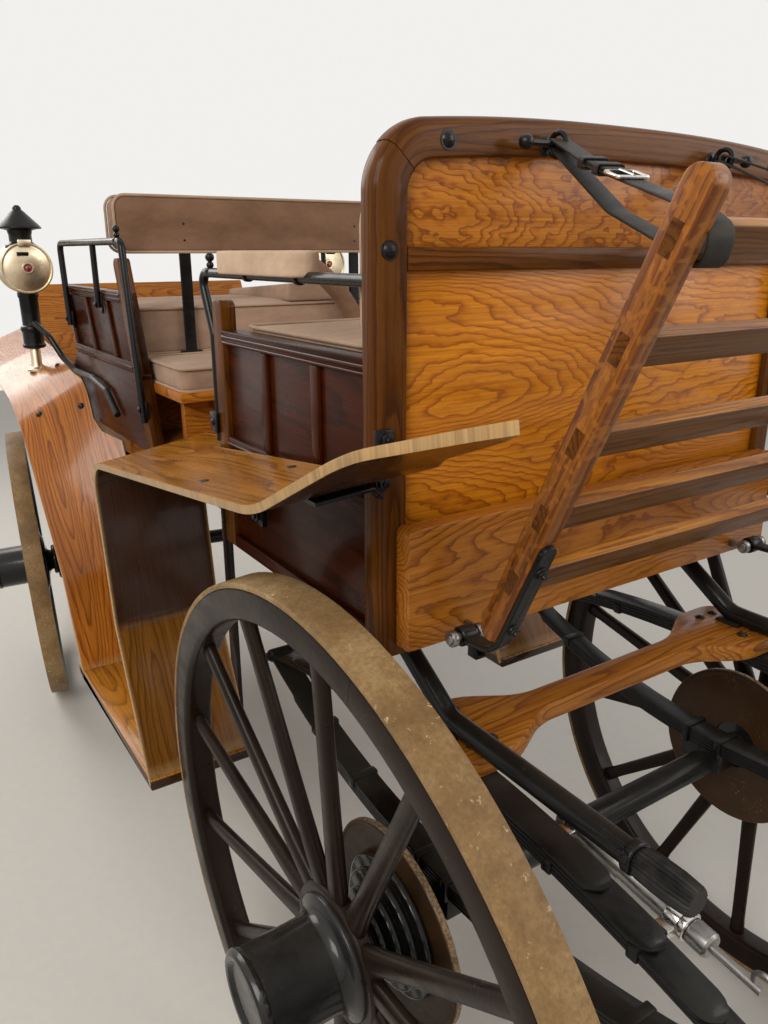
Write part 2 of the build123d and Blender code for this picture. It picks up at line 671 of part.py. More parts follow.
# Sides of the rear compartment
post_rear = REAR_SIDE_FRONT_X - POST_WIDTH
rear_side = block(FRAME_FRONT_X, post_rear, SIDE_INNER, PANEL_OUTER, SILL_BOTTOM, REAR_SIDE_TOP)
side_bands = (
    (REAR_SIDE_TOP - MOULDING_HEIGHT, REAR_SIDE_TOP),
    (SIDE_PANEL_BOTTOM - MOULDING_HEIGHT, SIDE_PANEL_BOTTOM),
    (SILL_BOTTOM, SILL_BOTTOM + MOULDING_HEIGHT),
)
for low, high in side_bands:
    rear_side += block(FRAME_FRONT_X, post_rear, PANEL_OUTER, BODY_HALF_WIDTH, low, high)
bay = (post_rear - FRAME_FRONT_X - 2 * BATTEN_WIDTH) / 3
batten_top = REAR_SIDE_TOP - MOULDING_HEIGHT
for i in (1, 2):
    batten_x = FRAME_FRONT_X + i * bay + (i - 1) * BATTEN_WIDTH
    batten_end = batten_x + BATTEN_WIDTH
    rear_side += block(
        batten_x, batten_end, PANEL_OUTER, BODY_HALF_WIDTH, SIDE_PANEL_BOTTOM, batten_top
    )
post = block(post_rear, REAR_SIDE_FRONT_X, SIDE_INNER, BODY_HALF_WIDTH, SILL_BOTTOM, REAR_POST_TOP)
post = fillet(post.edges().group_by(Axis.Z)[-1].filter_by(Axis.Y), POST_ROUND)
add_sides("rear_side", rear_side + post)

# Rear seat
board_bottom = REAR_SEAT_TOP - SEAT_BOARD_THICK
riser_x = REAR_SEAT_FRONT_X - SEAT_BOARD_THICK
seat = block(FRAME_FRONT_X, REAR_SEAT_FRONT_X, -SIDE_INNER, SIDE_INNER, board_bottom, REAR_SEAT_TOP)
seat += block(riser_x, REAR_SEAT_FRONT_X, -SIDE_INNER, SIDE_INNER, DECK_TOP, board_bottom)
add("rear_seat", seat)
back_low = REAR_SIDE_TOP + SOFT_GAP
back_top = (FRAME_FRONT_X + SOFT_GAP, REAR_BACK_FRONT_X, -REAR_BACK_HALF, REAR_BACK_HALF)
rear_back = cushion(*back_top, back_low, REAR_BACK_TOP)
fill = FRAME_INNER - SOFT_GAP
rear_back += block(
    PANEL_FRONT_X + SOFT_GAP,
    REAR_BACK_FRONT_X - CUSHION_ROUND,
    -fill,
    fill,
    REAR_SEAT_TOP + SOFT_GAP,
    REAR_BACK_TOP - CUSHION_ROUND,
)
add("rear_back_cushion", rear_back)
add(
    "rear_cushion",
    cushion(
        REAR_BACK_FRONT_X + SOFT_GAP,
        REAR_SEAT_FRONT_X + CUSHION_OVERHANG,
        -CUSHION_HALF,
        CUSHION_HALF,
        REAR_SEAT_TOP + SOFT_GAP,
        REAR_SEAT_TOP + REAR_CUSHION_THICK,
    ),
)


def post_line(z):
    """X of the raking front post's rear edge at a height."""
    return FRONT_POST_FOOT_X + (z - FRONT_LOWER_BOTTOM) * tan(radians(FRONT_POST_LEAN))


# Sides of the front compartment
lean_width = POST_WIDTH / cos(radians(FRONT_POST_LEAN))
front_post = side_plate(
    [
        (post_line(FRONT_LOWER_BOTTOM), FRONT_LOWER_BOTTOM),
        (post_line(FRONT_LOWER_BOTTOM) + lean_width, FRONT_LOWER_BOTTOM),
        (post_line(FRONT_POST_TOP) + lean_width, FRONT_POST_TOP),
        (post_line(FRONT_POST_TOP), FRONT_POST_TOP),
    ],
    SIDE_INNER,
    BODY_HALF_WIDTH,
)
front_post = fillet(front_post.edges().group_by(Axis.Z)[-1].filter_by(Axis.Y), POST_ROUND)


def panel_front(z):
    """X of the front panel's raking front edge at a height."""
    share = (z - FRONT_SIDE_BOTTOM) / (FRONT_SIDE_TOP - FRONT_SIDE_BOTTOM)
    return FRONT_PANEL_FOOT_X + share * (FRONT_PANEL_HEAD_X - FRONT_PANEL_FOOT_X)


def front_strip(z0, z1, y0, y1):
    """A level strip of the front side between the post and the panel's front edge."""
    points = [(post_line(z0), z0), (panel_front(z0), z0), (panel_front(z1), z1), (post_line(z1), z1)]
    return side_plate(points, y0, y1)


front_side = front_strip(FRONT_SIDE_BOTTOM, FRONT_SIDE_TOP, SIDE_INNER, PANEL_OUTER)
lower_band = FRONT_SIDE_BOTTOM + MOULDING_HEIGHT
upper_band = FRONT_SIDE_TOP - MOULDING_HEIGHT
front_side += front_strip(FRONT_SIDE_BOTTOM, lower_band, PANEL_OUTER, BODY_HALF_WIDTH)
front_side += front_strip(upper_band, FRONT_SIDE_TOP, PANEL_OUTER, BODY_HALF_WIDTH)
for share in (0.33, 0.66, 1.0):
    foot_x = post_line(lower_band) + share * (panel_front(lower_band) - post_line(lower_band))
    head_x = post_line(upper_band) + share * (panel_front(upper_band) - post_line(upper_band))
    batten = [
        (foot_x - BATTEN_WIDTH, lower_band),
        (foot_x, lower_band),
        (head_x, upper_band),
        (head_x - BATTEN_WIDTH, upper_band),
    ]
    front_side += side_plate(batten, PANEL_OUTER, BODY_HALF_WIDTH)
front_side += side_plate(
    [
        (post_line(FRONT_LOWER_BOTTOM), FRONT_LOWER_BOTTOM),
        (FRONT_LOWER_FRONT_X, FRONT_LOWER_BOTTOM),
        (FRONT_LOWER_FRONT_X, FRONT_LOWER_BEND),
        (panel_front(FRONT_SIDE_BOTTOM), FRONT_SIDE_BOTTOM),
        (post_line(FRONT_SIDE_BOTTOM), FRONT_SIDE_BOTTOM),
    ],
    SIDE_INNER,
    BODY_HALF_WIDTH,
)
add_sides("front_side", front_side + front_post)

# Seats of the front compartment
middle_low = MIDDLE_SEAT_TOP - SEAT_BOARD_THICK
middle = block(
    MIDDLE_SEAT_REAR_X, FRONT_SEAT_REAR_X, -SIDE_INNER, SIDE_INNER, middle_low, MIDDLE_SEAT_TOP
)
middle += block(
    MIDDLE_RISER_X,
    MIDDLE_RISER_X + SEAT_BOARD_THICK,
    -ENTRY_DECK_Y,
    ENTRY_DECK_Y,
    DECK_TOP,
    middle_low,
)
add("middle_seat", middle)
add(
    "middle_cushion",
    cushion(
        MIDDLE_SEAT_REAR_X + SOFT_GAP,
        FRONT_SEAT_REAR_X - SOFT_GAP,
        -CUSHION_HALF,
        CUSHION_HALF,
        MIDDLE_SEAT_TOP + SOFT_GAP,
        MIDDLE_SEAT_TOP + MIDDLE_CUSHION_THICK,
    ),
)
front_low = FRONT_SEAT_TOP - SEAT_BOARD_THICK
front_seat = block(
    FRONT_SEAT_REAR_X, FRONT_SEAT_FRONT_X, -SIDE_INNER, SIDE_INNER, front_low, FRONT_SEAT_TOP
)
for riser in (FRONT_SEAT_REAR_X, FRONT_SEAT_FRONT_X - SEAT_BOARD_THICK):
    front_seat += block(
        riser, riser + SEAT_BOARD_THICK, -SIDE_INNER, SIDE_INNER, DECK_TOP, front_low
    )
add("front_seat", front_seat)
add(
    "front_cushion",
    cushion(
        FRONT_CUSHION_REAR_X,
        FRONT_SEAT_FRONT_X,
        -CUSHION_HALF,
        CUSHION_HALF,
        FRONT_SEAT_TOP + SOFT_GAP,
        FRONT_CUSHION_TOP,
    ),
)
wedge_low = FRONT_CUSHION_TOP + SOFT_GAP
wedge = side_plate(
    [
        (WEDGE_REAR_X, wedge_low),
        (WEDGE_FRONT_X, wedge_low),
        (WEDGE_FRONT_X, WEDGE_FRONT_TOP),
        (WEDGE_REAR_X, WEDGE_TOP),
    ],
    -CUSHION_HALF,
    WEDGE_INNER_Y,
)
add("driver_wedge", wedge)
add(
    "driver_back_cushion",
    cushion(
        BACK_CUSHION_REAR_X,
        BACK_CUSHION_FRONT_X,
        -BACK_CUSHION_HALF,
        BACK_CUSHION_HALF,
        BACK_CUSHION_BOTTOM,
        BACK_CUSHION_TOP,
    ),
)
stay_end = BACK_STAY_X + BACK_STAY_THICK
stay_y0 = BACK_STAY_Y - BACK_STAY_WIDTH / 2
stay_y1 = BACK_STAY_Y + BACK_STAY_WIDTH / 2
stay_top = BACK_CUSHION_BOTTOM - SOFT_GAP
stay = block(BACK_STAY_X, stay_end, stay_y0, stay_y1, FRONT_SEAT_TOP, stay_top)
foot_low = (FRONT_SEAT_TOP, FRONT_SEAT_TOP + STAY_FLANGE_THICK)
foot_high = (stay_top - STAY_FLANGE_THICK, stay_top)
for (low, high), front in ((foot_low, stay_end), (foot_high, BACK_CUSHION_FRONT_X - CUSHION_ROUND)):
    stay += block(BACK_STAY_X, front, stay_y0 - STAY_FLANGE, stay_y1 + STAY_FLANGE, low, high)
add("back_stays", pair(stay))
roll_path = Plane.YZ * ThreePointArc(ROLL_FOOT, ROLL_MID, ROLL_HEAD)
roll = sweep(Plane(origin=roll_path @ 0, z_dir=roll_path % 0) * Circle(ROLL_RADIUS), path=roll_path)
add("back_roll", Pos(ROLL_X, 0, 0) * roll)

# Toe board
toe_run = (TOE_TOP - TOE_BEND_Z) * tan(radians(TOE_LEAN))
toe_board = [
    (TOE_FOOT_X, TOE_ROOT_BOTTOM),
    (TOE_FOOT_X + TOE_THICK, TOE_ROOT_BOTTOM),
    (TOE_FOOT_X + TOE_THICK, TOE_BEND_Z),
    (TOE_FOOT_X + TOE_THICK + toe_run, TOE_TOP),
    (TOE_FOOT_X + toe_run, TOE_TOP),
    (TOE_FOOT_X, TOE_BEND_Z),
]
add("toe_board", side_plate(toe_board, -BODY_HALF_WIDTH, BODY_HALF_WIDTH))

# Arm rails and pads
leg_x = REAR_SIDE_FRONT_X + RAIL_RADIUS + SOFT_GAP
rear_rail = [
    (FRAME_FRONT_X, REAR_RAIL_Z),
    (REAR_RAIL_FRONT_X, REAR_RAIL_Z),
    (leg_x, REAR_RAIL_KNEE_Z),
    (leg_x, REAR_RAIL_FOOT_Z),
]
rail = side_rod(rear_rail, RAIL_BEND, RAIL_RADIUS, REAR_RAIL_Y)
for height, ball_radius in RAIL_BALLS:
    rail += Pos(REAR_RAIL_BALL_X, REAR_RAIL_Y, REAR_RAIL_Z + height) * Sphere(ball_radius)
add("rear_arm_rails", pair(rail))
front_rail = [
    FRONT_RAIL_FOOT,
    (FRONT_RAIL_REAR_X, FRONT_RAIL_Z),
    (FRONT_RAIL_FRONT_X, FRONT_RAIL_Z),
    FRONT_RAIL_FRONT_FOOT,
]
rail = side_rod(front_rail, RAIL_BEND, RAIL_RADIUS, FRONT_RAIL_Y)
mid_foot = (FRONT_RAIL_MID_X, FRONT_RAIL_Y, FRONT_RAIL_MID_Z)
rail += bar_between(mid_foot, (FRONT_RAIL_MID_X, FRONT_RAIL_Y, FRONT_RAIL_Z), RAIL_RADIUS)
add("front_arm_rails", pair(rail))
pad_low = REAR_RAIL_Z + RAIL_RADIUS + SOFT_GAP
arm_pad = cushion(
    ARM_PAD_REAR_X,
    ARM_PAD_FRONT_X,
    REAR_RAIL_Y - ARM_PAD_WIDTH / 2,
    REAR_RAIL_Y + ARM_PAD_WIDTH / 2,
    pad_low,
    pad_low + ARM_PAD_THICK,
)
add("arm_pads", pair(arm_pad))

# Mudguards with their irons
rear_guard = bent_guard(REAR_GUARD, REAR_GUARD_RADII)
notch_x = REAR_SIDE_FRONT_X + GUARD_BODY_Y - BODY_HALF_WIDTH
tail_x = REAR_GUARD[-1][0]
far = 2 * GUARD_OUTER_Y
rear_guard -= block(2 * tail_x, notch_x, 0, GUARD_BODY_Y, 0, FRAME_TOP)
inner_cut = [(GUARD_TAIL_START, GUARD_BODY_Y), (2 * tail_x, GUARD_BODY_Y), (tail_x, GUARD_TAIL_INNER_Y)]
rear_guard -= plan_plate(inner_cut, 0, FRAME_TOP)
outer_cut = [
    (GUARD_TAPER_X, GUARD_OUTER_Y),
    (tail_x, GUARD_TAIL_OUTER_Y),
    (2 * tail_x, GUARD_TAIL_OUTER_Y),
    (2 * tail_x, far),
    (GUARD_TAPER_X, far),
]
rear_guard -= plan_plate(outer_cut, 0, FRAME_TOP)
rear_guard = biggest(rear_guard)
add_sides("rear_mudguard", rear_guard)
front_guard = bent_guard(FRONT_GUARD, FRONT_GUARD_RADII)
front_guard -= block(
    FRONT_POST_FOOT_X, 2 * TOE_FOOT_X, 0, GUARD_BODY_Y, FRONT_LOWER_BOTTOM - STEP_THICK, FRAME_TOP
)
front_guard = biggest(front_guard)
add_sides("front_mudguard", front_guard)
irons = [guard_iron(rear_guard, *row) for row in REAR_GUARD_IRONS]
irons += [guard_iron(front_guard, *row) for row in FRONT_GUARD_IRONS]
add("guard_irons", pair(*irons))

# Steps between the guards
step = block(
    STEP_REAR_X, STEP_FRONT_X, GUARD_INNER_Y, GUARD_OUTER_Y, STEP_TOP - STEP_THICK, STEP_TOP
)
step = biggest(step - rear_guard - front_guard)
add("step_boards", pair(step))
hanger_low = STEP_TOP - STEP_THICK - HANGER_THICK
sill_face = SILL_Y + SILL_WIDTH
hangers = []
for hanger_x in HANGER_X:
    ends = (hanger_x, hanger_x + HANGER_WIDTH)
    hanger = block(*ends, sill_face, sill_face + HANGER_THICK, hanger_low, HANGER_TOP)
    hanger += block(*ends, sill_face, HANGER_REACH, hanger_low, hanger_low + HANGER_THICK)
    hangers.append(hanger)
add("step_hangers", pair(*hangers))

# Side lamps
lamp_rear = (LAMP_X - LAMP_LENGTH / 2, LAMP_Y, LAMP_Z)
lamp_front = (LAMP_X + LAMP_LENGTH / 2, LAMP_Y, LAMP_Z)
lamp = bar_between(lamp_rear, lamp_front, LAMP_RADIUS)
for stack_radius, low, high in LAMP_STACK:
    lamp += bar_between((LAMP_X, LAMP_Y, low), (LAMP_X, LAMP_Y, high), stack_radius)
add("side_lamps", pair(lamp.cut(front_guard).solids().sort_by(SortBy.VOLUME)[-1]))

# Fore-carriage
springs = leaf_spring(WHEELBASE, SADDLE_TOP["front"], FORE_SPRING_TOP)
add("front_springs", turned(pair(springs)))
bar_rear = WHEELBASE - FORE_BAR_WIDTH / 2
bar_front = WHEELBASE + FORE_BAR_WIDTH / 2
beam_y = FUTCHELL_Y - FUTCHELL_WIDTH / 2
fore_bar = block(bar_rear, bar_front, -FORE_BAR_HALF, FORE_BAR_HALF, FORE_SPRING_TOP, FORE_BAR_TOP)
fore_bar += block(bar_rear, bar_front, -beam_y, beam_y, FORE_BAR_TOP, RING_BOTTOM)
pin_bore = bar_between((WHEELBASE, 0, 0), (WHEELBASE, 0, FRAME_TOP), KINGPIN_RADIUS + RUNNING_CLEARANCE)
add("fore_bar", turned(fore_bar - pin_bore))
beam_end = WHEELBASE + FUTCHELL_FRONT
beam = block(
    WHEELBASE - FUTCHELL_REAR, beam_end, beam_y, beam_y + FUTCHELL_WIDTH, FORE_BAR_TOP, RING_BOTTOM
)
coupling_x = beam_end - COUPLING_INSET
coupling_z = (FORE_BAR_TOP + RING_BOTTOM) / 2
beam -= bar_between((coupling_x, 0, coupling_z), (coupling_x, far, coupling_z), COUPLING_BORE_RADIUS)
add("futchells", turned(pair(beam)))
ring = disc_ring(RING_RADIUS + RING_WIDTH / 2, RING_RADIUS - RING_WIDTH / 2, 0, RING_THICK)
add("lower_turntable", Pos(WHEELBASE, 0, RING_BOTTOM) * ring)
bed_low = BED_BOTTOM + RING_THICK
bed_reach = RING_RADIUS + RING_WIDTH / 2
bed = Pos(WHEELBASE, 0, BED_BOTTOM) * ring
bed += block(
    WHEELBASE - bed_reach, WHEELBASE + bed_reach, -BED_WIDTH / 2, BED_WIDTH / 2, bed_low, SILL_BOTTOM
)
cross_half = BED_CROSS_WIDTH / 2
bed += block(
    WHEELBASE - cross_half, WHEELBASE + cross_half, -sill_face, sill_face, bed_low, SILL_BOTTOM
)
pin_low = FORE_SPRING_TOP - KINGPIN_NUT_GAP - KINGPIN_NUT_HEIGHT
bed += bar_between((WHEELBASE, 0, pin_low), (WHEELBASE, 0, bed_low), KINGPIN_RADIUS)
nut_top = pin_low + KINGPIN_NUT_HEIGHT
bed += bar_between((WHEELBASE, 0, pin_low), (WHEELBASE, 0, nut_top), KINGPIN_NUT_RADIUS)
add("upper_turntable", bed)

# Luggage rack
along = Vector(RACK_TIP[0] - RACK_FOOT[0], 0, RACK_TIP[1] - RACK_FOOT[1]).normalized()
arm_angle = Vector(1, 0, 0).get_signed_angle(along, Vector(0, -1, 0))
arm_length = sqrt((RACK_TIP[0] - RACK_FOOT[0]) ** 2 + (RACK_TIP[1] - RACK_FOOT[1]) ** 2)
arm_place = Pos(*RACK_FOOT) * Rot(0, 0, arm_angle)
arm_face = arm_place * Pos(arm_length / 2, 0) * SlotCenterToCenter(arm_length, RACK_ARM_DEPTH)
arm_y0 = RACK_ARM_Y - RACK_ARM_THICK / 2
arm_y1 = RACK_ARM_Y + RACK_ARM_THICK / 2
arm = side_face(arm_face, arm_y0, arm_y1)
rack = arm + mirrored(arm)
slat_mid = (SLAT_REAR - SLAT_FRONT) / 2
for slat_z in SLAT_Z:
    reach = (slat_z - RACK_FOOT[1]) / along.Z
    slat_face = arm_place * Pos(reach, slat_mid) * Rectangle(SLAT_THICK, SLAT_REAR + SLAT_FRONT)
    rack += side_face(slat_face, -arm_y0, arm_y0)
add("luggage_rack", rack)
barrel_y0 = RACK_ARM_Y - BARREL_WIDTH / 2
barrel_y1 = RACK_ARM_Y + BARREL_WIDTH / 2
iron_path = FilletPolyline(RACK_PIVOT, HINGE_ELBOW, HINGE_TOP, radius=RAIL_BEND)
iron = side_face(trace(iron_path, HINGE_IRON_THICK), barrel_y0, barrel_y1)
pivot = Pos(*RACK_PIVOT)
iron += side_face(pivot * Circle(BARREL_RADIUS), barrel_y0, barrel_y1)
iron -= side_face(pivot * Circle(HINGE_PIN_RADIUS + RUNNING_CLEARANCE), 0, far)
iron = biggest(iron - arm)
add("rack_hinges", pair(iron))
lug_face = pivot * Circle(LUG_HALF)
lug_mid = (RACK_PIVOT[0] + tail_rear_x) / 2
lug_face += Pos(lug_mid, RACK_PIVOT[1]) * Rectangle(tail_rear_x - RACK_PIVOT[0], 2 * LUG_HALF)
lugs = side_face(lug_face, barrel_y0 - LUG_GAP - LUG_THICK, barrel_y0 - LUG_GAP)
lugs += side_face(lug_face, barrel_y1 + LUG_GAP, barrel_y1 + LUG_GAP + LUG_THICK)
pin_y0 = barrel_y0 - LUG_GAP - LUG_THICK
pin_y1 = barrel_y1 + LUG_GAP + LUG_THICK
lugs += side_face(pivot * Circle(HINGE_PIN_RADIUS), pin_y0, pin_y1)
add("rack_brackets", pair(lugs))

# Eye bolts, frame bolts and the leather straps of the rack
eye_y = STRAP_EYE_Y
eye_z = FRAME_TOP - FRAME_WIDTH / 2
ring_x = FRAME_REAR_X - EYE_OFFSET
frame_irons = [
    Pos(ring_x, eye_y, eye_z) * Rot(90, 0, 0) * Torus(EYE_RING_RADIUS, EYE_WIRE_RADIUS)
    + bar_between((ring_x + EYE_RING_RADIUS, eye_y, eye_z), (FRAME_REAR_X, eye_y, eye_z), BOLT_HEAD)
]
for bolt_y, bolt_z in FRAME_BOLTS:
    head_x = FRAME_REAR_X - BOLT_HEAD
    head = bar_between((head_x, bolt_y, bolt_z), (FRAME_REAR_X, bolt_y, bolt_z), BOLT_RADIUS)
    frame_irons.append(fillet(head.edges().group_by(Axis.X)[0], BOLT_HEAD - 1))
add("frame_irons", pair(*frame_irons))


def slat_corner(along_side, across):
    """A point beside the top slat, from its middle, in X and Z."""
    reach = (SLAT_Z[-1] - RACK_FOOT[1]) / along.Z + along_side
    return (
        RACK_FOOT[0] + along.X * reach - along.Z * across,
        RACK_FOOT[1] + along.Z * reach + along.X * across,
    )


strap_run = Vector(slat_corner(0, 0)[0] - ring_x, STRAP_SLAT_Y - eye_y, 0)
strap_dir = strap_run.normalized()
strap_plane = Plane(
    origin=(ring_x, eye_y, 0), x_dir=strap_dir, z_dir=strap_dir.cross(Vector(0, 0, 1))
)
clear = STRAP_THICK / 2 + SOFT_GAP
half_slat = SLAT_THICK / 2 + clear
wrap = (
    (half_slat, -SLAT_FRONT - clear),
    (half_slat, SLAT_REAR + clear),
    (-half_slat, SLAT_REAR + clear),
    (-half_slat, -SLAT_FRONT - clear),
)
strap_points = [(0, eye_z + EYE_WIRE_RADIUS)]
for along_side, across in wrap:
    corner_x, corner_z = slat_corner(along_side, across)
    strap_points.append(((corner_x - ring_x) / strap_dir.X, corner_z))
strap_points.append((strap_run.length / 2, (eye_z + SLAT_Z[-1]) / 2 - STRAP_SAG))
strap_line = make_face(Polyline(*strap_points, close=True))
strap_face = offset(strap_line, STRAP_THICK / 2) - offset(strap_line, -STRAP_THICK / 2)
strap = extrude(strap_plane * strap_face, STRAP_WIDTH / 2, both=True)
strap = biggest(strap - rack - frame_irons[0])
add("rack_straps", pair(strap))

# The finished nodes, moved so that the origin lies under the middle
whole = Compound([shape for shape in NODES.values()]).bounding_box()
shift = Pos(-(whole.min.X + whole.max.X) / 2, 0, 0)
for name, shape in NODES.items():
    export_step(shift * shape, f"parts/{name}.step")
print(f"{len(NODES)} nodes, shift {-(whole.min.X + whole.max.X) / 2:.3f}")
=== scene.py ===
"""Dresses the open wagonette: timber, irons, plush seats, wheels and lamps, in the frame of its solids.

Sizes are millimetres from the rear axle, the middle plane and the ground, as in the part's source.
"""
import json
import logging
from collections.abc import Callable, Iterable, Sequence
from dataclasses import dataclass
from enum import Enum
from math import atan2, ceil, copysign, cos, pi, radians, sin, sqrt, tan

import bmesh
import bpy
from bmesh.types import BMEdge, BMesh, BMFace, BMVert
from bpy.types import ID, Material, Mesh, Node, NodeSocket, NodeTree, Object
from mathutils import Matrix, Vector
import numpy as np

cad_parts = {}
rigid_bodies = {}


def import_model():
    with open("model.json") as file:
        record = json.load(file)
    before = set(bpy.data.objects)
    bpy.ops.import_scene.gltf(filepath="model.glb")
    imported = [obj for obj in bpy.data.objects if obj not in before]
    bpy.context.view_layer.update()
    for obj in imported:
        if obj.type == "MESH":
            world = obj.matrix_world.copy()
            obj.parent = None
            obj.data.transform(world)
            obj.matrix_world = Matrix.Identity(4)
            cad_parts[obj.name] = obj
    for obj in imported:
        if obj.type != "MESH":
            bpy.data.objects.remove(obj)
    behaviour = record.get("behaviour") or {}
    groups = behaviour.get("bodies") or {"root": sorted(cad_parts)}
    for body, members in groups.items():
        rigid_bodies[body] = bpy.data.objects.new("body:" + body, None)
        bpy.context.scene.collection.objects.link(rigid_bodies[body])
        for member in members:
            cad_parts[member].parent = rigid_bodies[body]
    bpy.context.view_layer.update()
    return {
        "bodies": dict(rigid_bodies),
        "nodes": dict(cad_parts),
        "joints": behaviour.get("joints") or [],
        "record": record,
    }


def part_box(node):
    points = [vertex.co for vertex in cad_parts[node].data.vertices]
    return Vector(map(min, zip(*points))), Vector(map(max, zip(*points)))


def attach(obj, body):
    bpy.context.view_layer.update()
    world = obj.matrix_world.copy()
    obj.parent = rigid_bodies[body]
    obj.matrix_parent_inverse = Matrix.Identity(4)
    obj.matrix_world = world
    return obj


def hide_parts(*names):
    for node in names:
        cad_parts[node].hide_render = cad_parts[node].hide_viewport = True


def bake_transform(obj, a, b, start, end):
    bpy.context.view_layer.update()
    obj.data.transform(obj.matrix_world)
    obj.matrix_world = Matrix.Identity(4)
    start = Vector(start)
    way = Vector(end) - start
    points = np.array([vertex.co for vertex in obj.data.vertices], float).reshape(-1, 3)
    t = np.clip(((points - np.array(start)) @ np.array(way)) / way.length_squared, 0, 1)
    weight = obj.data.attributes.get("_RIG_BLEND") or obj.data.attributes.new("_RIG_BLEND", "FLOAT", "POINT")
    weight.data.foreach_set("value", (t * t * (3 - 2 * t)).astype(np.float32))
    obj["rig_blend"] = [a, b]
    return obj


LOG = logging.getLogger("wagonette")
SHIFT = -1130.619
WHEELBASE = 2210.0
STEER_REST = -9.0
CAMBER = 2.3
HUB_MID_Y = 561.0
STRAP_EYE = (4.0, 180.0, 1768.0)

Color = tuple[float, float, float]
Outline = Sequence[tuple[float, float]]
X, Y, Z = (Vector(axis) for axis in ((1, 0, 0), (0, 1, 0), (0, 0, 1)))


class Slot(Enum):
    """The material slots of the record."""

    WOOD_DARK = "wood_dark"
    WOOD_PANEL = "wood_panel"
    WOOD_GUARD = "wood_guard"
    WOOD_BAR = "wood_bar"
    WHEEL_WOOD = "wheel_wood"
    TYRE = "tyre"
    IRON = "iron_black"
    HUB = "hub_black"
    VELVET = "velvet"
    LEATHER = "leather"
    RUBBER = "rubber"
    LAMP = "lamp_brass"
    STEEL = "steel"


class Body(Enum):
    """The bodies that pieces ride on."""

    CARRIAGE = "carriage"
    FORE = "fore_carriage"
    RACK = "folding_rack"


def mm(x: float, y: float, z: float) -> Vector:
    """A place on the carriage in millimetres, as a point of the frame in metres."""
    return Vector((x + SHIFT, y, z)) / 1000


def turned() -> Matrix:
    """The fore-carriage's turn about its kingpin, as it stands at rest."""
    pin = Matrix.Translation(mm(WHEELBASE, 0, 0))
    return pin @ Matrix.Rotation(radians(STEER_REST), 4, "Z") @ pin.inverted()


class Wiring:
    """The nodes of one tree, made and wired together."""

    def __init__(self, tree: NodeTree) -> None:
        """Starts with an emptied tree."""
        self.tree = tree
        tree.nodes.clear()

    def put(self, node: Node, socket: str | int, value: object) -> None:
        """Sets a socket to a constant, or wires another socket into it.

        Args:
            node: The node that has the socket.
            socket: The input's name or place.
            value: A number, a colour, a vector or an output socket.
        """
        if isinstance(value, NodeSocket):
            self.tree.links.new(value, node.inputs[socket])
        elif isinstance(value, tuple) and node.inputs[socket].type == "RGBA":
            node.inputs[socket].default_value = (*value, 1.0)
        else:
            node.inputs[socket].default_value = value

    def add(self, kind: str, inputs: dict, output: str | int = 0, **settings: object) -> NodeSocket:
        """A new node's output.

        Args:
            kind: The node's kind.
            inputs: What its sockets are set or wired to.
            output: The output that is wanted.
            settings: The node's own settings.

        Returns:
            The output.
        """
        node = self.tree.nodes.new(f"ShaderNode{kind}")
        for name, value in settings.items():
            setattr(node, name, value)
        for socket, value in inputs.items():
            self.put(node, socket, value)
        return node.outputs[output]

    def math(self, operation: str, a: object, b: object = 0.5) -> NodeSocket:
        """One step of arithmetic on two values."""
        return self.add("Math", {0: a, 1: b}, operation=operation)


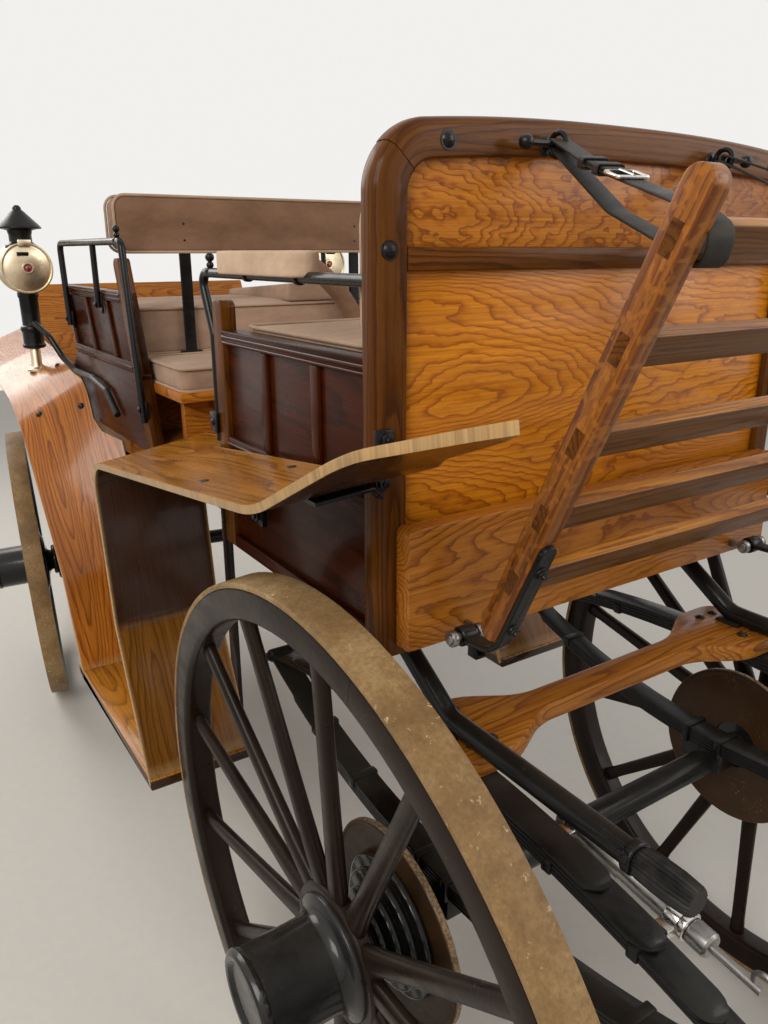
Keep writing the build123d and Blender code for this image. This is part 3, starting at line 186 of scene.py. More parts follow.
class Shade(Wiring):
    """A sheet of shader nodes for one procedural finish."""

    def __init__(self, name: str) -> None:
        """Starts a material with a shader and an output.

        Args:
            name: The material's name.
        """
        self.material = bpy.data.materials.new(name)
        self.material.use_nodes = True
        super().__init__(self.material.node_tree)
        self.surface = self.tree.nodes.new("ShaderNodeBsdfPrincipled")
        output = self.tree.nodes.new("ShaderNodeOutputMaterial")
        self.tree.links.new(self.surface.outputs[0], output.inputs[0])

    def own(self, **sockets: object) -> None:
        """Sets sockets of the surface shader, written with _ for a space."""
        for name, value in sockets.items():
            self.put(self.surface, name.replace("_", " "), value)

    def place(self) -> NodeSocket:
        """The object's own coordinates."""
        return self.add("TexCoord", {}, "Object")

    def stored(self, name: str, output: str = "Vector") -> NodeSocket:
        """A value that the mesh keeps at its vertices, as Vector, Fac or Color."""
        return self.add("Attribute", {}, output, attribute_name=name)

    def stretched(self, vector: NodeSocket, scale: Color, shift: float = 0.0) -> NodeSocket:
        """Coordinates scaled apart on their three axes, and moved alike on all of them."""
        return self.add("Mapping", {"Vector": vector, "Scale": scale, "Location": (shift, shift, shift)})

    def noise(self, vector: NodeSocket, scale: float = 1.0, detail: float = 2.0, rough: float = 0.5) -> NodeSocket:
        """Smooth noise from 0 to 1, with its number of octaves and the strength of the finer ones."""
        return self.add("TexNoise", {"Vector": vector, "Scale": scale, "Detail": detail, "Roughness": rough}, "Fac")

    def cells(self, vector: NodeSocket, scale: float, feature: str) -> NodeSocket:
        """Cell distances of a scale, to the cells' middles for F1 or to their edges for DISTANCE_TO_EDGE."""
        return self.add("TexVoronoi", {"Vector": vector, "Scale": scale}, "Distance", feature=feature)

    def spread(
        self, value: NodeSocket, low: float, high: float, to_low: float = 0.0, to_high: float = 1.0
    ) -> NodeSocket:
        """Takes the range from low to high to another range, held at its ends."""
        ends = {"From Min": low, "From Max": high, "To Min": to_low, "To Max": to_high}
        return self.add("MapRange", {"Value": value, **ends})

    def upward(self) -> NodeSocket:
        """How far the surface faces up, from -1 to 1."""
        return self.add("SeparateXYZ", {0: self.add("NewGeometry", {}, "Normal")}, 2)

    def ramp(self, value: NodeSocket, stops: Sequence[tuple[float, Color]]) -> NodeSocket:
        """A colour for each value.

        Args:
            value: The value.
            stops: Places from 0 to 1 with their colours.

        Returns:
            The colour.
        """
        node = self.tree.nodes.new("ShaderNodeValToRGB")
        self.put(node, "Fac", value)
        ramp = node.color_ramp
        while len(ramp.elements) < len(stops):
            ramp.elements.new(0.5)
        for element, (place, color) in zip(ramp.elements, stops):
            element.position = place
            element.color = (*color, 1.0)
        return node.outputs[0]

    def mix(self, share: object, a: object, b: object, blend: str = "MIX") -> NodeSocket:
        """The first colour with a share of the second one laid over it."""
        return self.add("Mix", {0: share, 6: a, 7: b}, 2, data_type="RGBA", blend_type=blend)

    def relief(self, height: NodeSocket, distance: float, under: object = None) -> NodeSocket:
        """Lays a relief on the surface, over another one where that is given.

        Args:
            height: The height from 0 to 1.
            distance: The depth of the relief in metres.
            under: The relief that it lies on.

        Returns:
            The normal's socket.
        """
        inputs = {"Distance": distance, "Height": height}
        if under is not None:
            inputs["Normal"] = under
        normal = self.add("Bump", inputs)
        self.put(self.surface, "Normal", normal)
        return normal


@dataclass(frozen=True)
class Timber:
    """Varnished timber, with figure, pores and streaks that follow the piece's own grain."""

    name: str
    slot: Slot
    light: Color
    middle: Color
    dark: Color
    rings: float = 20.0
    along: float = 1.3
    across: float = 8.0
    contrast: float = 0.75
    pores: float = 0.55
    fleck: float = 0.0
    wiggle: float = 0.5
    gloss: float = 0.3
    coat: float = 0.12
    polish: float = 0.2
    # Strength of the painted shade laid on faces that do not face up.
    painted_shade: float = 0.0
    bare: Color = (0.52, 0.32, 0.13)

    def material(self) -> Material:
        """The finish as a material."""
        sheet = Shade(self.name)
        grain = sheet.stored("grain")
        field = sheet.noise(sheet.stretched(grain, (self.along, self.across, self.across)), 1.0, 1.2, 0.35)
        wander = sheet.noise(sheet.stretched(grain, (22.0, 48.0, 48.0), 3.1), 1.0, 2.0)
        wiggle = sheet.math("MULTIPLY", wander, self.wiggle)
        lines = sheet.math("ADD", sheet.math("MULTIPLY", field, self.rings), wiggle)
        ring = sheet.math("FRACT", lines)
        streak = sheet.noise(sheet.stretched(grain, (3.5, 260.0, 260.0), 7.7), 1.0, 3.0, 0.6)
        figure = sheet.ramp(
            ring, [(0.0, self.light), (0.45, self.light), (0.72, self.middle), (0.9, self.dark), (1.0, self.light)]
        )
        color = sheet.mix(self.contrast, self.middle, figure)
        color = sheet.mix(sheet.spread(streak, 0.38, 0.7, 0.0, 0.55), color, self.dark)
        shade = sheet.noise(sheet.stretched(grain, (1.1, 3.0, 3.0), 1.7), 1.6, 3.0)
        color = sheet.mix(sheet.spread(shade, 0.5, 0.75, 0.0, 0.5), color, self.dark)
        color = sheet.mix(sheet.spread(shade, 0.25, 0.45, 0.35, 0.0), color, self.light)
        pore = sheet.noise(sheet.stretched(grain, (45.0, 1500.0, 1500.0), 2.3), 1.0, 1.0)
        pit = sheet.math("MULTIPLY", sheet.spread(pore, 0.6, 0.72), sheet.spread(ring, 0.3, 0.9, 0.5, 1.0))
        deep = (self.dark[0] * 0.35, self.dark[1] * 0.3, self.dark[2] * 0.3)
        color = sheet.mix(sheet.math("MULTIPLY", pit, self.pores), color, deep)
        if self.fleck:
            ray = sheet.noise(sheet.stretched(grain, (60.0, 110.0, 30.0), 5.0), 1.0, 2.0, 0.6)
            share = sheet.math("MULTIPLY", sheet.spread(ray, 0.52, 0.6), self.fleck)
            color = sheet.mix(share, color, self.light)
        # Painted shade: faces that turn sideways or down are darkened towards a near-black brown, as if unlit.
        if self.painted_shade:
            low = sheet.spread(sheet.upward(), 0.2, 0.8, self.painted_shade, 0.0)
            color = sheet.mix(low, color, (0.018, 0.005, 0.002))
        worn = sheet.stored("worn", "Fac")
        scuff = sheet.noise(sheet.stretched(grain, (130.0, 260.0, 260.0), 4.4), 1.0, 4.0, 0.7)
        bared = sheet.math("MULTIPLY", worn, sheet.spread(scuff, 0.3, 0.6, 0.4, 0.85))
        color = sheet.mix(bared, color, self.bare)
        sheet.own(Base_Color=color, Coat_Weight=self.coat, Coat_Roughness=0.12, Specular_IOR_Level=self.polish)
        haze = sheet.noise(sheet.stretched(grain, (5.0, 14.0, 14.0), 9.1), 1.0, 4.0, 0.6)
        rough = sheet.spread(haze, 0.3, 0.7, self.gloss - 0.07, self.gloss + 0.13)
        sheet.own(Roughness=sheet.math("ADD", rough, sheet.math("MULTIPLY", bared, 0.25)))
        under = sheet.relief(sheet.math("SUBTRACT", 1.0, pit), 0.00012)
        sheet.relief(streak, 0.00025, under)
        return sheet.material


@dataclass(frozen=True)
class Paint:
    """Brushed or stoved paint, with specks, scuffs and a little dust on what faces up."""

    name: str
    slot: Slot
    base: Color
    tone: Color
    chip: Color
    gloss: float = 0.24
    coat: float = 0.08
    polish: float = 0.25
    specks: float = 0.5
    dust: float = 0.05

    def material(self) -> Material:
        """The finish as a material."""
        sheet = Shade(self.name)
        place = sheet.place()
        drift = sheet.noise(place, 7.0, 4.0, 0.6)
        color = sheet.mix(sheet.spread(drift, 0.35, 0.7), self.base, self.tone)
        speck = sheet.noise(place, 210.0, 3.0, 0.7)
        patch = sheet.noise(place, 11.0, 3.0, 0.6)
        chips = sheet.math("MULTIPLY", sheet.spread(speck, 0.62, 0.7), sheet.spread(patch, 0.5, 0.68))
        worn = sheet.math("MULTIPLY", sheet.stored("worn", "Fac"), sheet.spread(speck, 0.42, 0.56, 0.25, 1.0))
        color = sheet.mix(sheet.math("MULTIPLY", sheet.math("MAXIMUM", chips, worn), self.specks), color, self.chip)
        film = sheet.math("MULTIPLY", sheet.spread(sheet.upward(), 0.4, 1.0), sheet.spread(drift, 0.3, 0.7))
        color = sheet.mix(sheet.math("MULTIPLY", film, self.dust), color, (0.42, 0.37, 0.3))
        smear = sheet.noise(sheet.stretched(place, (9.0, 9.0, 26.0)), 1.0, 5.0, 0.65)
        rough = sheet.spread(smear, 0.3, 0.72, self.gloss - 0.06, self.gloss + 0.16)
        sheet.own(Base_Color=color, Roughness=sheet.math("ADD", rough, sheet.math("MULTIPLY", film, 0.15)))
        sheet.own(Coat_Weight=self.coat, Coat_Roughness=0.1, Specular_IOR_Level=self.polish)
        under = sheet.relief(sheet.noise(place, 95.0, 3.0, 0.5), 0.00035)
        sheet.relief(sheet.math("SUBTRACT", 1.0, chips), 0.0002, under)
        return sheet.material


@dataclass(frozen=True)
class Plush:
    """Pile fabric with brushed patches, a fine pile and a soft sheen."""

    name: str
    light: Color
    dark: Color
    slot: Slot = Slot.VELVET

    def material(self) -> Material:
        """The finish as a material."""
        sheet = Shade(self.name)
        place = sheet.place()
        brushed = sheet.noise(sheet.stretched(place, (9.0, 5.0, 14.0)), 1.0, 4.0, 0.65)
        color = sheet.mix(sheet.spread(brushed, 0.32, 0.66), self.dark, self.light)
        pile = sheet.noise(sheet.stretched(place, (1.0, 1.0, 0.6)), 1300.0, 2.0, 0.7)
        color = sheet.mix(sheet.spread(pile, 0.35, 0.7, 0.0, 0.35), color, self.dark)
        rub = sheet.noise(place, 34.0, 3.0, 0.6)
        color = sheet.mix(sheet.spread(rub, 0.58, 0.75, 0.0, 0.3), color, self.light)
        sheet.own(Base_Color=color, Roughness=sheet.spread(brushed, 0.3, 0.7, 0.82, 0.95))
        sheet.own(Sheen_Weight=0.3, Sheen_Roughness=0.45, Sheen_Tint=(0.9, 0.75, 0.62), Specular_IOR_Level=0.1)
        under = sheet.relief(pile, 0.0006)
        sheet.relief(sheet.noise(place, 60.0, 3.0, 0.55), 0.0016, under)
        return sheet.material


@dataclass(frozen=True)
class Metal:
    """Bare or plated metal with fine scratches and dull patches."""

    name: str
    slot: Slot
    bright: Color
    dull: Color
    gloss: float = 0.25
    tarnish: float = 0.5

    def material(self) -> Material:
        """The finish as a material."""
        sheet = Shade(self.name)
        place = sheet.place()
        stain = sheet.noise(place, 26.0, 5.0, 0.65)
        share = sheet.math("MULTIPLY", sheet.spread(stain, 0.45, 0.7), self.tarnish)
        sheet.own(Base_Color=sheet.mix(share, self.bright, self.dull), Metallic=1.0)
        scratch = sheet.noise(sheet.stretched(place, (60.0, 900.0, 500.0)), 1.0, 2.0, 0.7)
        rough = sheet.spread(scratch, 0.3, 0.7, self.gloss - 0.06, self.gloss + 0.1)
        sheet.own(Roughness=sheet.math("ADD", rough, sheet.math("MULTIPLY", share, 0.35)))
        under = sheet.relief(scratch, 0.00004)
        sheet.relief(stain, 0.0002, under)
        return sheet.material


@dataclass(frozen=True)
class Hide:
    """Harness leather with its grain, rubbed edges and creases."""

    name: str
    base: Color
    rubbed: Color
    slot: Slot = Slot.LEATHER

    def material(self) -> Material:
        """The finish as a material."""
        sheet = Shade(self.name)
        place = sheet.place()
        grain = sheet.cells(place, 900.0, "DISTANCE_TO_EDGE")
        blotch = sheet.noise(place, 30.0, 4.0, 0.6)
        color = sheet.mix(sheet.spread(blotch, 0.5, 0.75, 0.0, 0.6), self.base, self.rubbed)
        color = sheet.mix(sheet.stored("worn", "Fac"), color, self.rubbed)
        sheet.own(Base_Color=color, Roughness=sheet.spread(blotch, 0.3, 0.7, 0.34, 0.55), Specular_IOR_Level=0.3)
        under = sheet.relief(sheet.spread(grain, 0.0, 0.25), 0.0002)
        crease = sheet.noise(sheet.stretched(place, (160.0, 160.0, 160.0)), 1.0, 3.0, 0.6)
        sheet.relief(crease, 0.0003, under)
        return sheet.material


@dataclass(frozen=True)
class TreadWear:
    """A worn tyre: brown paint rubbed to a tan band with pale flecks and grit."""

    name: str
    slot: Slot = Slot.TYRE

    def material(self) -> Material:
        """The finish as a material."""
        sheet = Shade(self.name)
        place = sheet.place()
        broad = sheet.noise(place, 9.0, 5.0, 0.65)
        fine = sheet.noise(place, 160.0, 4.0, 0.7)
        color = sheet.ramp(
            broad, [(0.3, (0.13, 0.073, 0.028)), (0.5, (0.26, 0.158, 0.066)), (0.72, (0.42, 0.28, 0.13))]
        )
        color = sheet.mix(sheet.spread(fine, 0.35, 0.65, 0.0, 0.5), color, (0.12, 0.068, 0.028))
        fleck = sheet.noise(place, 75.0, 5.0, 0.75)
        patch = sheet.noise(place, 6.0, 2.0, 0.5)
        share = sheet.math("MULTIPLY", sheet.spread(fleck, 0.62, 0.68), sheet.spread(patch, 0.42, 0.6, 0.15, 1.0))
        color = sheet.mix(share, color, (0.68, 0.55, 0.33))
        sheet.own(Base_Color=color, Roughness=sheet.spread(fine, 0.3, 0.7, 0.42, 0.68), Specular_IOR_Level=0.25)
        under = sheet.relief(fine, 0.0005)
        sheet.relief(fleck, 0.0008, under)
        return sheet.material


@dataclass(frozen=True)
class RubberPad:
    """Black moulded rubber with a fine bloom."""

    name: str
    slot: Slot = Slot.RUBBER

    def material(self) -> Material:
        """The finish as a material."""
        sheet = Shade(self.name)
        place = sheet.place()
        bloom = sheet.noise(place, 45.0, 4.0, 0.6)
        color = sheet.mix(sheet.spread(bloom, 0.4, 0.75), (0.007, 0.007, 0.007), (0.03, 0.027, 0.024))
        sheet.own(Base_Color=color, Roughness=sheet.spread(bloom, 0.3, 0.7, 0.42, 0.62), Specular_IOR_Level=0.25)
        sheet.relief(sheet.noise(place, 700.0, 2.0), 0.0002)
        return sheet.material


@dataclass(frozen=True)
class Bullseye:
    """Cut glass of one colour, with rings in its relief."""

    name: str
    tint: Color
    slot: Slot = Slot.LAMP

    def material(self) -> Material:
        """The finish as a material."""
        sheet = Shade(self.name)
        place = sheet.place()
        cloud = sheet.noise(place, 60.0, 3.0, 0.5)
        deep = (self.tint[0] * 0.4, self.tint[1] * 0.4, self.tint[2] * 0.4)
        sheet.own(Base_Color=sheet.mix(cloud, deep, self.tint), Coat_Weight=0.8, Coat_Roughness=0.04)
        sheet.own(Roughness=sheet.spread(cloud, 0.3, 0.7, 0.08, 0.18), Transmission_Weight=0.35, IOR=1.5)
        sheet.relief(sheet.noise(place, 260.0, 2.0), 0.0001)
        return sheet.material


Finish = Timber | Paint | Plush | Metal | Hide | TreadWear | RubberPad | Bullseye


class Finishes:
    """The carriage's finishes by the name of what they cover."""

    PANEL = Timber(
        "ash_panel", Slot.WOOD_PANEL, (0.68, 0.25, 0.008), (0.53, 0.165, 0.004), (0.23, 0.052, 0.002),
        rings=58.0, along=1.1, across=6.0, contrast=0.8, pores=0.6, wiggle=1.6,
    )
    FLAME = Timber(
        "flame_panel", Slot.WOOD_PANEL, (0.57, 0.21, 0.02), (0.43, 0.13, 0.009), (0.17, 0.038, 0.003),
        rings=30.0, along=2.6, across=6.5, contrast=0.8, pores=0.6, wiggle=3.4,
    )
    TAIL = Timber(
        "golden_oak", Slot.WOOD_PANEL, (0.52, 0.19, 0.02), (0.37, 0.115, 0.009), (0.15, 0.036, 0.003),
        rings=46.0, along=1.3, across=7.0, contrast=0.75, pores=0.8, wiggle=1.2,
    )
    FRAME = Timber(
        "walnut_frame", Slot.WOOD_DARK, (0.17, 0.058, 0.006), (0.1, 0.03, 0.003), (0.035, 0.009, 0.001),
        rings=16.0, along=0.9, across=14.0, contrast=0.6, coat=0.07, gloss=0.26, polish=0.09,
    )
    SIDE = Timber(
        "mahogany_side", Slot.WOOD_DARK, (0.075, 0.015, 0.002), (0.038, 0.007, 0.001), (0.014, 0.0028, 0.0006),
        rings=12.0, along=0.9, across=9.0, contrast=0.5, coat=0.1, gloss=0.26, polish=0.08,
    )
    RACK = Timber(
        "quartered_oak", Slot.WOOD_BAR, (0.38, 0.135, 0.015), (0.22, 0.062, 0.007), (0.07, 0.016, 0.002),
        rings=8.0, along=0.6, across=40.0, contrast=0.5, fleck=0.5, pores=0.9,
    )
    # Light colours for the lit top edges; painted shade darkens the broad faces, which do not face up.
    SLAT = Timber(
        "slat_oak", Slot.WOOD_BAR, (0.62, 0.26, 0.022), (0.42, 0.14, 0.009), (0.14, 0.034, 0.002),
        rings=14.0, along=0.8, across=26.0, contrast=0.6, pores=0.7, painted_shade=0.76, polish=0.15,
    )
    BAR = Timber(
        "hind_bar_oak", Slot.WOOD_BAR, (0.55, 0.22, 0.027), (0.36, 0.12, 0.013), (0.12, 0.03, 0.004),
        rings=20.0, along=0.9, across=14.0, contrast=0.65, pores=0.8,
    )
    # Light colours for the lit upper face; painted shade darkens the upright and inner faces almost to black.
    GUARD = Timber(
        "bent_guard", Slot.WOOD_GUARD, (0.58, 0.24, 0.024), (0.38, 0.14, 0.01), (0.13, 0.036, 0.003),
        rings=18.0, along=1.0, across=9.0, contrast=0.6, coat=0.3, gloss=0.22, polish=0.2, painted_shade=0.96,
    )
    FORE_GUARD = Timber(
        "bright_guard", Slot.WOOD_GUARD, (0.55, 0.19, 0.024), (0.38, 0.11, 0.011), (0.14, 0.031, 0.003),
        rings=26.0, along=0.9, across=10.0, contrast=0.7, coat=0.3, gloss=0.22,
    )
    FLOOR = Timber(
        "floor_boards", Slot.WOOD_PANEL, (0.45, 0.18, 0.03), (0.3, 0.1, 0.013), (0.12, 0.033, 0.005),
        rings=18.0, along=0.9, across=9.0, contrast=0.6, coat=0.05, gloss=0.4,
    )
    WHEEL = Paint(
        "wheel_brown", Slot.WHEEL_WOOD, (0.008, 0.0038, 0.002), (0.016, 0.0075, 0.0036), (0.1, 0.06, 0.028),
        gloss=0.28, coat=0.04, polish=0.13, specks=0.6, dust=0.03,
    )
    IRON = Paint(
        "black_iron", Slot.IRON, (0.004, 0.004, 0.004), (0.009, 0.008, 0.007), (0.04, 0.026, 0.016), polish=0.2
    )
    HUB = Paint(
        "hub_enamel", Slot.HUB, (0.005, 0.005, 0.0055), (0.01, 0.0095, 0.009), (0.04, 0.034, 0.026),
        gloss=0.2, coat=0.35, polish=0.2,
    )
    DRUM = Paint(
        "drum_brown", Slot.HUB, (0.034, 0.016, 0.006), (0.055, 0.027, 0.011), (0.3, 0.2, 0.11),
        gloss=0.35, polish=0.15, specks=0.9,
    )
    BACK = Plush("back_plush", (0.27, 0.155, 0.097), (0.155, 0.085, 0.05))
    SEAT = Plush("seat_plush", (0.48, 0.33, 0.24), (0.31, 0.2, 0.14))
    ARM = Plush("arm_plush", (0.68, 0.5, 0.37), (0.46, 0.31, 0.21))
    PIPING = Plush("piping", (0.5, 0.36, 0.26), (0.36, 0.24, 0.16))
    STRAP = Hide("strap_leather", (0.013, 0.011, 0.009), (0.06, 0.047, 0.034))
    NICKEL = Metal("nickel", Slot.STEEL, (0.72, 0.7, 0.66), (0.3, 0.26, 0.2), gloss=0.2)
    STEEL = Metal("tube_steel", Slot.STEEL, (0.3, 0.29, 0.28), (0.1, 0.08, 0.06), gloss=0.32)
    LAMP = Metal("lamp_metal", Slot.LAMP, (0.72, 0.6, 0.42), (0.3, 0.2, 0.1), gloss=0.3, tarnish=0.45)
    LENS = Bullseye("red_bullseye", (0.5, 0.02, 0.02))
    CLEAR = Bullseye("lamp_glass", (0.75, 0.75, 0.7))
    TYRE = TreadWear("worn_tread")
    RUBBER = RubberPad("step_rubber")


def fresh() -> BMesh:
    """An empty mesh whose vertices keep their place in the grain and their wear."""
    made = bmesh.new()
    made.verts.layers.float_vector.new("grain")
    made.verts.layers.float.new("worn")
    return made


def lay_grain(part: BMesh, along: Vector, seed: float) -> BMesh:
    """Writes each vertex's place along, across and through the timber.

    Args:
        part: The mesh.
        along: The direction of the grain.
        seed: Moves the figure, so that no two boards are alike.

    Returns:
        The same mesh.
    """
    layer = part.verts.layers.float_vector["grain"]
    run = along.normalized()
    helper = Z if abs(run.z) < 0.9 else Y
    across = run.cross(helper).normalized()
    depth = across.cross(run)
    start = Vector((seed * 1.37, seed * 0.71, seed * 0.43))
    for vert in part.verts:
        vert[layer] = Vector((vert.co.dot(run), vert.co.dot(across), vert.co.dot(depth))) + start
    return part


def sharp_edges(part: BMesh, angle: float = 30.0) -> list[BMEdge]:
    """The edges where two faces meet at more than an angle in degrees."""
    limit = radians(angle)
    return [e for e in part.edges if e.is_manifold and e.calc_face_angle(0.0) > limit]


def round_off(part: BMesh, edges: Iterable[BMEdge], width: float, segments: int = 2) -> BMesh:
    """Rounds edges by a width in millimetres, with a number of faces."""
    bmesh.ops.bevel(
        part, geom=list(edges), offset=width / 1000, segments=segments, profile=0.5, affect="EDGES",
        material=-1, clamp_overlap=True,
    )
    return part


def verts_in(made: Iterable[object]) -> list[BMVert]:
    """The vertices in what an operator made."""
    return [g for g in made if isinstance(g, BMVert)]


def grown(part: BMesh, edges: list[BMEdge]) -> tuple[list[BMVert], list[BMEdge]]:
    """Extrudes edges.

    Args:
        part: The mesh.
        edges: The edges.

    Returns:
        The vertices and the edges at the far end, not yet moved.
    """
    made = bmesh.ops.extrude_edge_only(part, edges=edges)["geom"]
    ring = verts_in(made)
    far = set(ring)
    return ring, [g for g in made if isinstance(g, BMEdge) and set(g.verts) <= far]


def meshed(name: str, part: BMesh) -> Mesh:
    """Turns an edited mesh into a kept one.

    Args:
        name: The new mesh's name.
        part: The edited mesh, which is freed.

    Returns:
        The new mesh.
    """
    data = bpy.data.meshes.new(name)
    part.to_mesh(data)
    part.free()
    return data


def linked(name: str, data: ID) -> Object:
    """Puts a new object into the scene.

    Args:
        name: The object's name.
        data: Its mesh, lamp or camera.

    Returns:
        The object.
    """
    obj = bpy.data.objects.new(name, data)
    bpy.context.scene.collection.objects.link(obj)
    return obj


def board(
    x: tuple[float, float], y: tuple[float, float], z: tuple[float, float], edge: float = 2.0, seed: float = 0.0,
    along: Vector | None = None,
) -> BMesh:
    """A board with rounded edges between its limits in millimetres.

    Args:
        x: Its two ends in X.
        y: Its two ends in Y.
        z: Its two ends in Z.
        edge: The rounding of its edges.
        seed: Moves its figure.
        along: The direction of its grain, or its longest side.

    Returns:
        The mesh.
    """
    part = fresh()
    low, high = mm(x[0], y[0], z[0]), mm(x[1], y[1], z[1])
    size = high - low
    place = Matrix.Translation((low + high) / 2) @ Matrix.Diagonal((*size, 1.0))
    bmesh.ops.create_cube(part, size=1.0, matrix=place)
    round_off(part, part.edges[:], min(edge, min(size) * 450))
    longest = max(range(3), key=lambda i: size[i])
    return lay_grain(part, along or Matrix.Identity(3)[longest], seed + longest * 3.3)


def rounded_path(points: Sequence[Vector], radii: Sequence[float], steps: int = 7) -> list[Vector]:
    """A line of straight runs joined by arcs.

    Args:
        points: The corners, in metres.
        radii: The radius at each inner corner, in millimetres.
        steps: How many runs each arc has.

    Returns:
        The points of the line.
    """
    path = [points[0]]
    for before, corner, after, radius in zip(points, points[1:], points[2:], radii):
        back, on = (before - corner).normalized(), (after - corner).normalized()
        half = back.angle(on) / 2
        reach = radius / 1000
        centre = corner + (back + on).normalized() * reach / sin(half)
        start = corner + back * reach / tan(half) - centre
        end = corner + on * reach / tan(half) - centre
        axis, angle = start.cross(end), start.angle(end)
        path += [centre + Matrix.Rotation(angle * i / steps, 3, axis) @ start for i in range(steps + 1)]
    return [*path, points[-1]]


def frames_along(path: Sequence[Vector], side: Vector | None = None, closed: bool = False) -> list[Matrix]:
    """A frame at each point of a line, whose Z axis runs along it.

    Args:
        path: The points.
        side: The direction that X keeps, or None for the least twist.
        closed: Whether the last point is the first one again.

    Returns:
        One matrix per point.
    """
    frames = []
    count = len(path)
    across = side
    for i, point in enumerate(path):
        before = path[i - 1] if i else (path[-2] if closed else path[0])
        after = path[i + 1] if i + 1 < count else (path[1] if closed else path[-1])
        run = (after - before).normalized()
        if across is None:
            across = run.orthogonal()
        across = (across - run * across.dot(run)).normalized()
        up = run.cross(across)
        frame = Matrix((across, up, run)).transposed().to_4x4()
        frames.append(Matrix.Translation(point) @ frame)
        if side is not None:
            across = side
    return frames


def swept(
    section: Outline, path: Sequence[Vector], side: Vector | None = None, closed: bool = False,
    widths: Sequence[tuple[float, float]] | None = None, seed: float = 0.0,
) -> BMesh:
    """A section drawn along a line.

    Args:
        section: The section's corners in millimetres.
        path: The line, in metres.
        side: The direction that the section's first axis keeps.
        closed: Whether the line comes back to its start.
        widths: The share of the section's size at each point.
        seed: Moves the figure of its timber.

    Returns:
        The mesh.
    """
    part = fresh()
    layer = part.verts.layers.float_vector["grain"]
    frames = frames_along(path, side, closed)
    if widths is not None:
        frames = [f @ Matrix.Diagonal((w[0], w[1], 1.0, 1.0)) for f, w in zip(frames, widths)]
    ring = [part.verts.new((u / 1000, v / 1000, 0.0)) for u, v in section]
    edges = [part.edges.new((a, b)) for a, b in zip(ring, ring[1:] + ring[:1])]
    first = list(edges)
    bmesh.ops.transform(part, matrix=frames[0], verts=ring)
    length = seed * 1.37
    for i, frame in enumerate(frames):
        if i:
            length += (path[i] - path[i - 1]).length
            ring, edges = grown(part, edges)
            bmesh.ops.transform(part, matrix=frame @ frames[i - 1].inverted(), verts=ring)
        back = frame.inverted()
        for vert in ring:
            place = back @ vert.co
            vert[layer] = Vector((length, place.x + seed * 0.71, place.y + seed * 0.43))
    if closed:
        bmesh.ops.remove_doubles(part, verts=part.verts[:], dist=1e-6)
    else:
        bmesh.ops.contextual_create(part, geom=first)
        bmesh.ops.contextual_create(part, geom=edges)
    bmesh.ops.recalc_face_normals(part, faces=part.faces[:])
    return part


def circle(radius: float, sides: int = 14) -> Outline:
    """A round section in millimetres."""
    turns = [2 * pi * i / sides for i in range(sides)]
    return [(radius * cos(t), radius * sin(t)) for t in turns]


def rounded_section(width: float, height: float, radius: float, steps: int = 3) -> Outline:
    """A rectangular section with round corners, in millimetres.

    Args:
        width: Its size on the first axis.
        height: Its size on the second axis.
        radius: The radius of its corners.
        steps: How many runs each corner has.

    Returns:
        Its corners.
    """
    points = []
    for quarter, (sx, sy) in enumerate(((1, 1), (-1, 1), (-1, -1), (1, -1))):
        for i in range(steps + 1):
            turn = pi / 2 * (quarter + i / steps)
            u = sx * (width / 2 - radius) + radius * cos(turn)
            v = sy * (height / 2 - radius) + radius * sin(turn)
            points.append((u, v))
    return points


def tube(path: Sequence[Vector], radius: float, sides: int = 14, closed: bool = False) -> BMesh:
    """A round iron along a line, of a radius in millimetres."""
    return swept(circle(radius, sides), path, closed=closed)


def lathe(
    profile: Outline, place: Matrix, edge: float = 0.0, steps: int = 40, hoop: bool = False
) -> BMesh:
    """A turned form.

    Args:
        profile: Radius and height of each corner, in millimetres.
        place: Where its axis, Z, goes.
        edge: The rounding of its sharp rings, in millimetres.
        steps: How many sides it has.
        hoop: Whether the profile closes on itself clear of the axis.

    Returns:
        The mesh.
    """
    part = fresh()
    verts = [part.verts.new((r / 1000, 0.0, z / 1000)) for r, z in profile]
    pairs = list(zip(verts, verts[1:]))
    if hoop:
        pairs.append((verts[-1], verts[0]))
    for a, b in pairs:
        part.edges.new((a, b))
    bmesh.ops.spin(
        part, geom=part.verts[:] + part.edges[:], cent=(0, 0, 0), axis=(0, 0, 1), angle=2 * pi,
        steps=steps, use_merge=True, use_duplicate=False, dvec=(0, 0, 0),
    )
    bmesh.ops.remove_doubles(part, verts=part.verts[:], dist=1e-6)
    bmesh.ops.recalc_face_normals(part, faces=part.faces[:])
    if edge:
        round_off(part, sharp_edges(part, 35), edge)
    bmesh.ops.transform(part, matrix=place, verts=part.verts[:])
    return lay_grain(part, place.col[0].xyz, 0.0)


def facing(at: Vector, direction: Vector, spin: float = 0.0) -> Matrix:
    """A frame at a point whose Z axis points in a direction, turned about it by degrees."""
    turn = direction.to_track_quat("Z", "Y").to_matrix().to_4x4()
    return Matrix.Translation(at) @ turn @ Matrix.Rotation(radians(spin), 4, "Z")


def domed_bolt(at: Vector, direction: Vector, radius: float = 9.0) -> BMesh:
    """A coach bolt's domed head on a thin washer."""
    r = radius
    profile = [
        (0, 0.62 * r), (0.35 * r, 0.58 * r), (0.65 * r, 0.45 * r), (0.85 * r, 0.28 * r),
        (r, 0.12 * r), (1.22 * r, 0.12 * r), (1.26 * r, -0.1 * r), (0, -0.1 * r),
    ]
    return lathe(profile, facing(at, direction), steps=24)


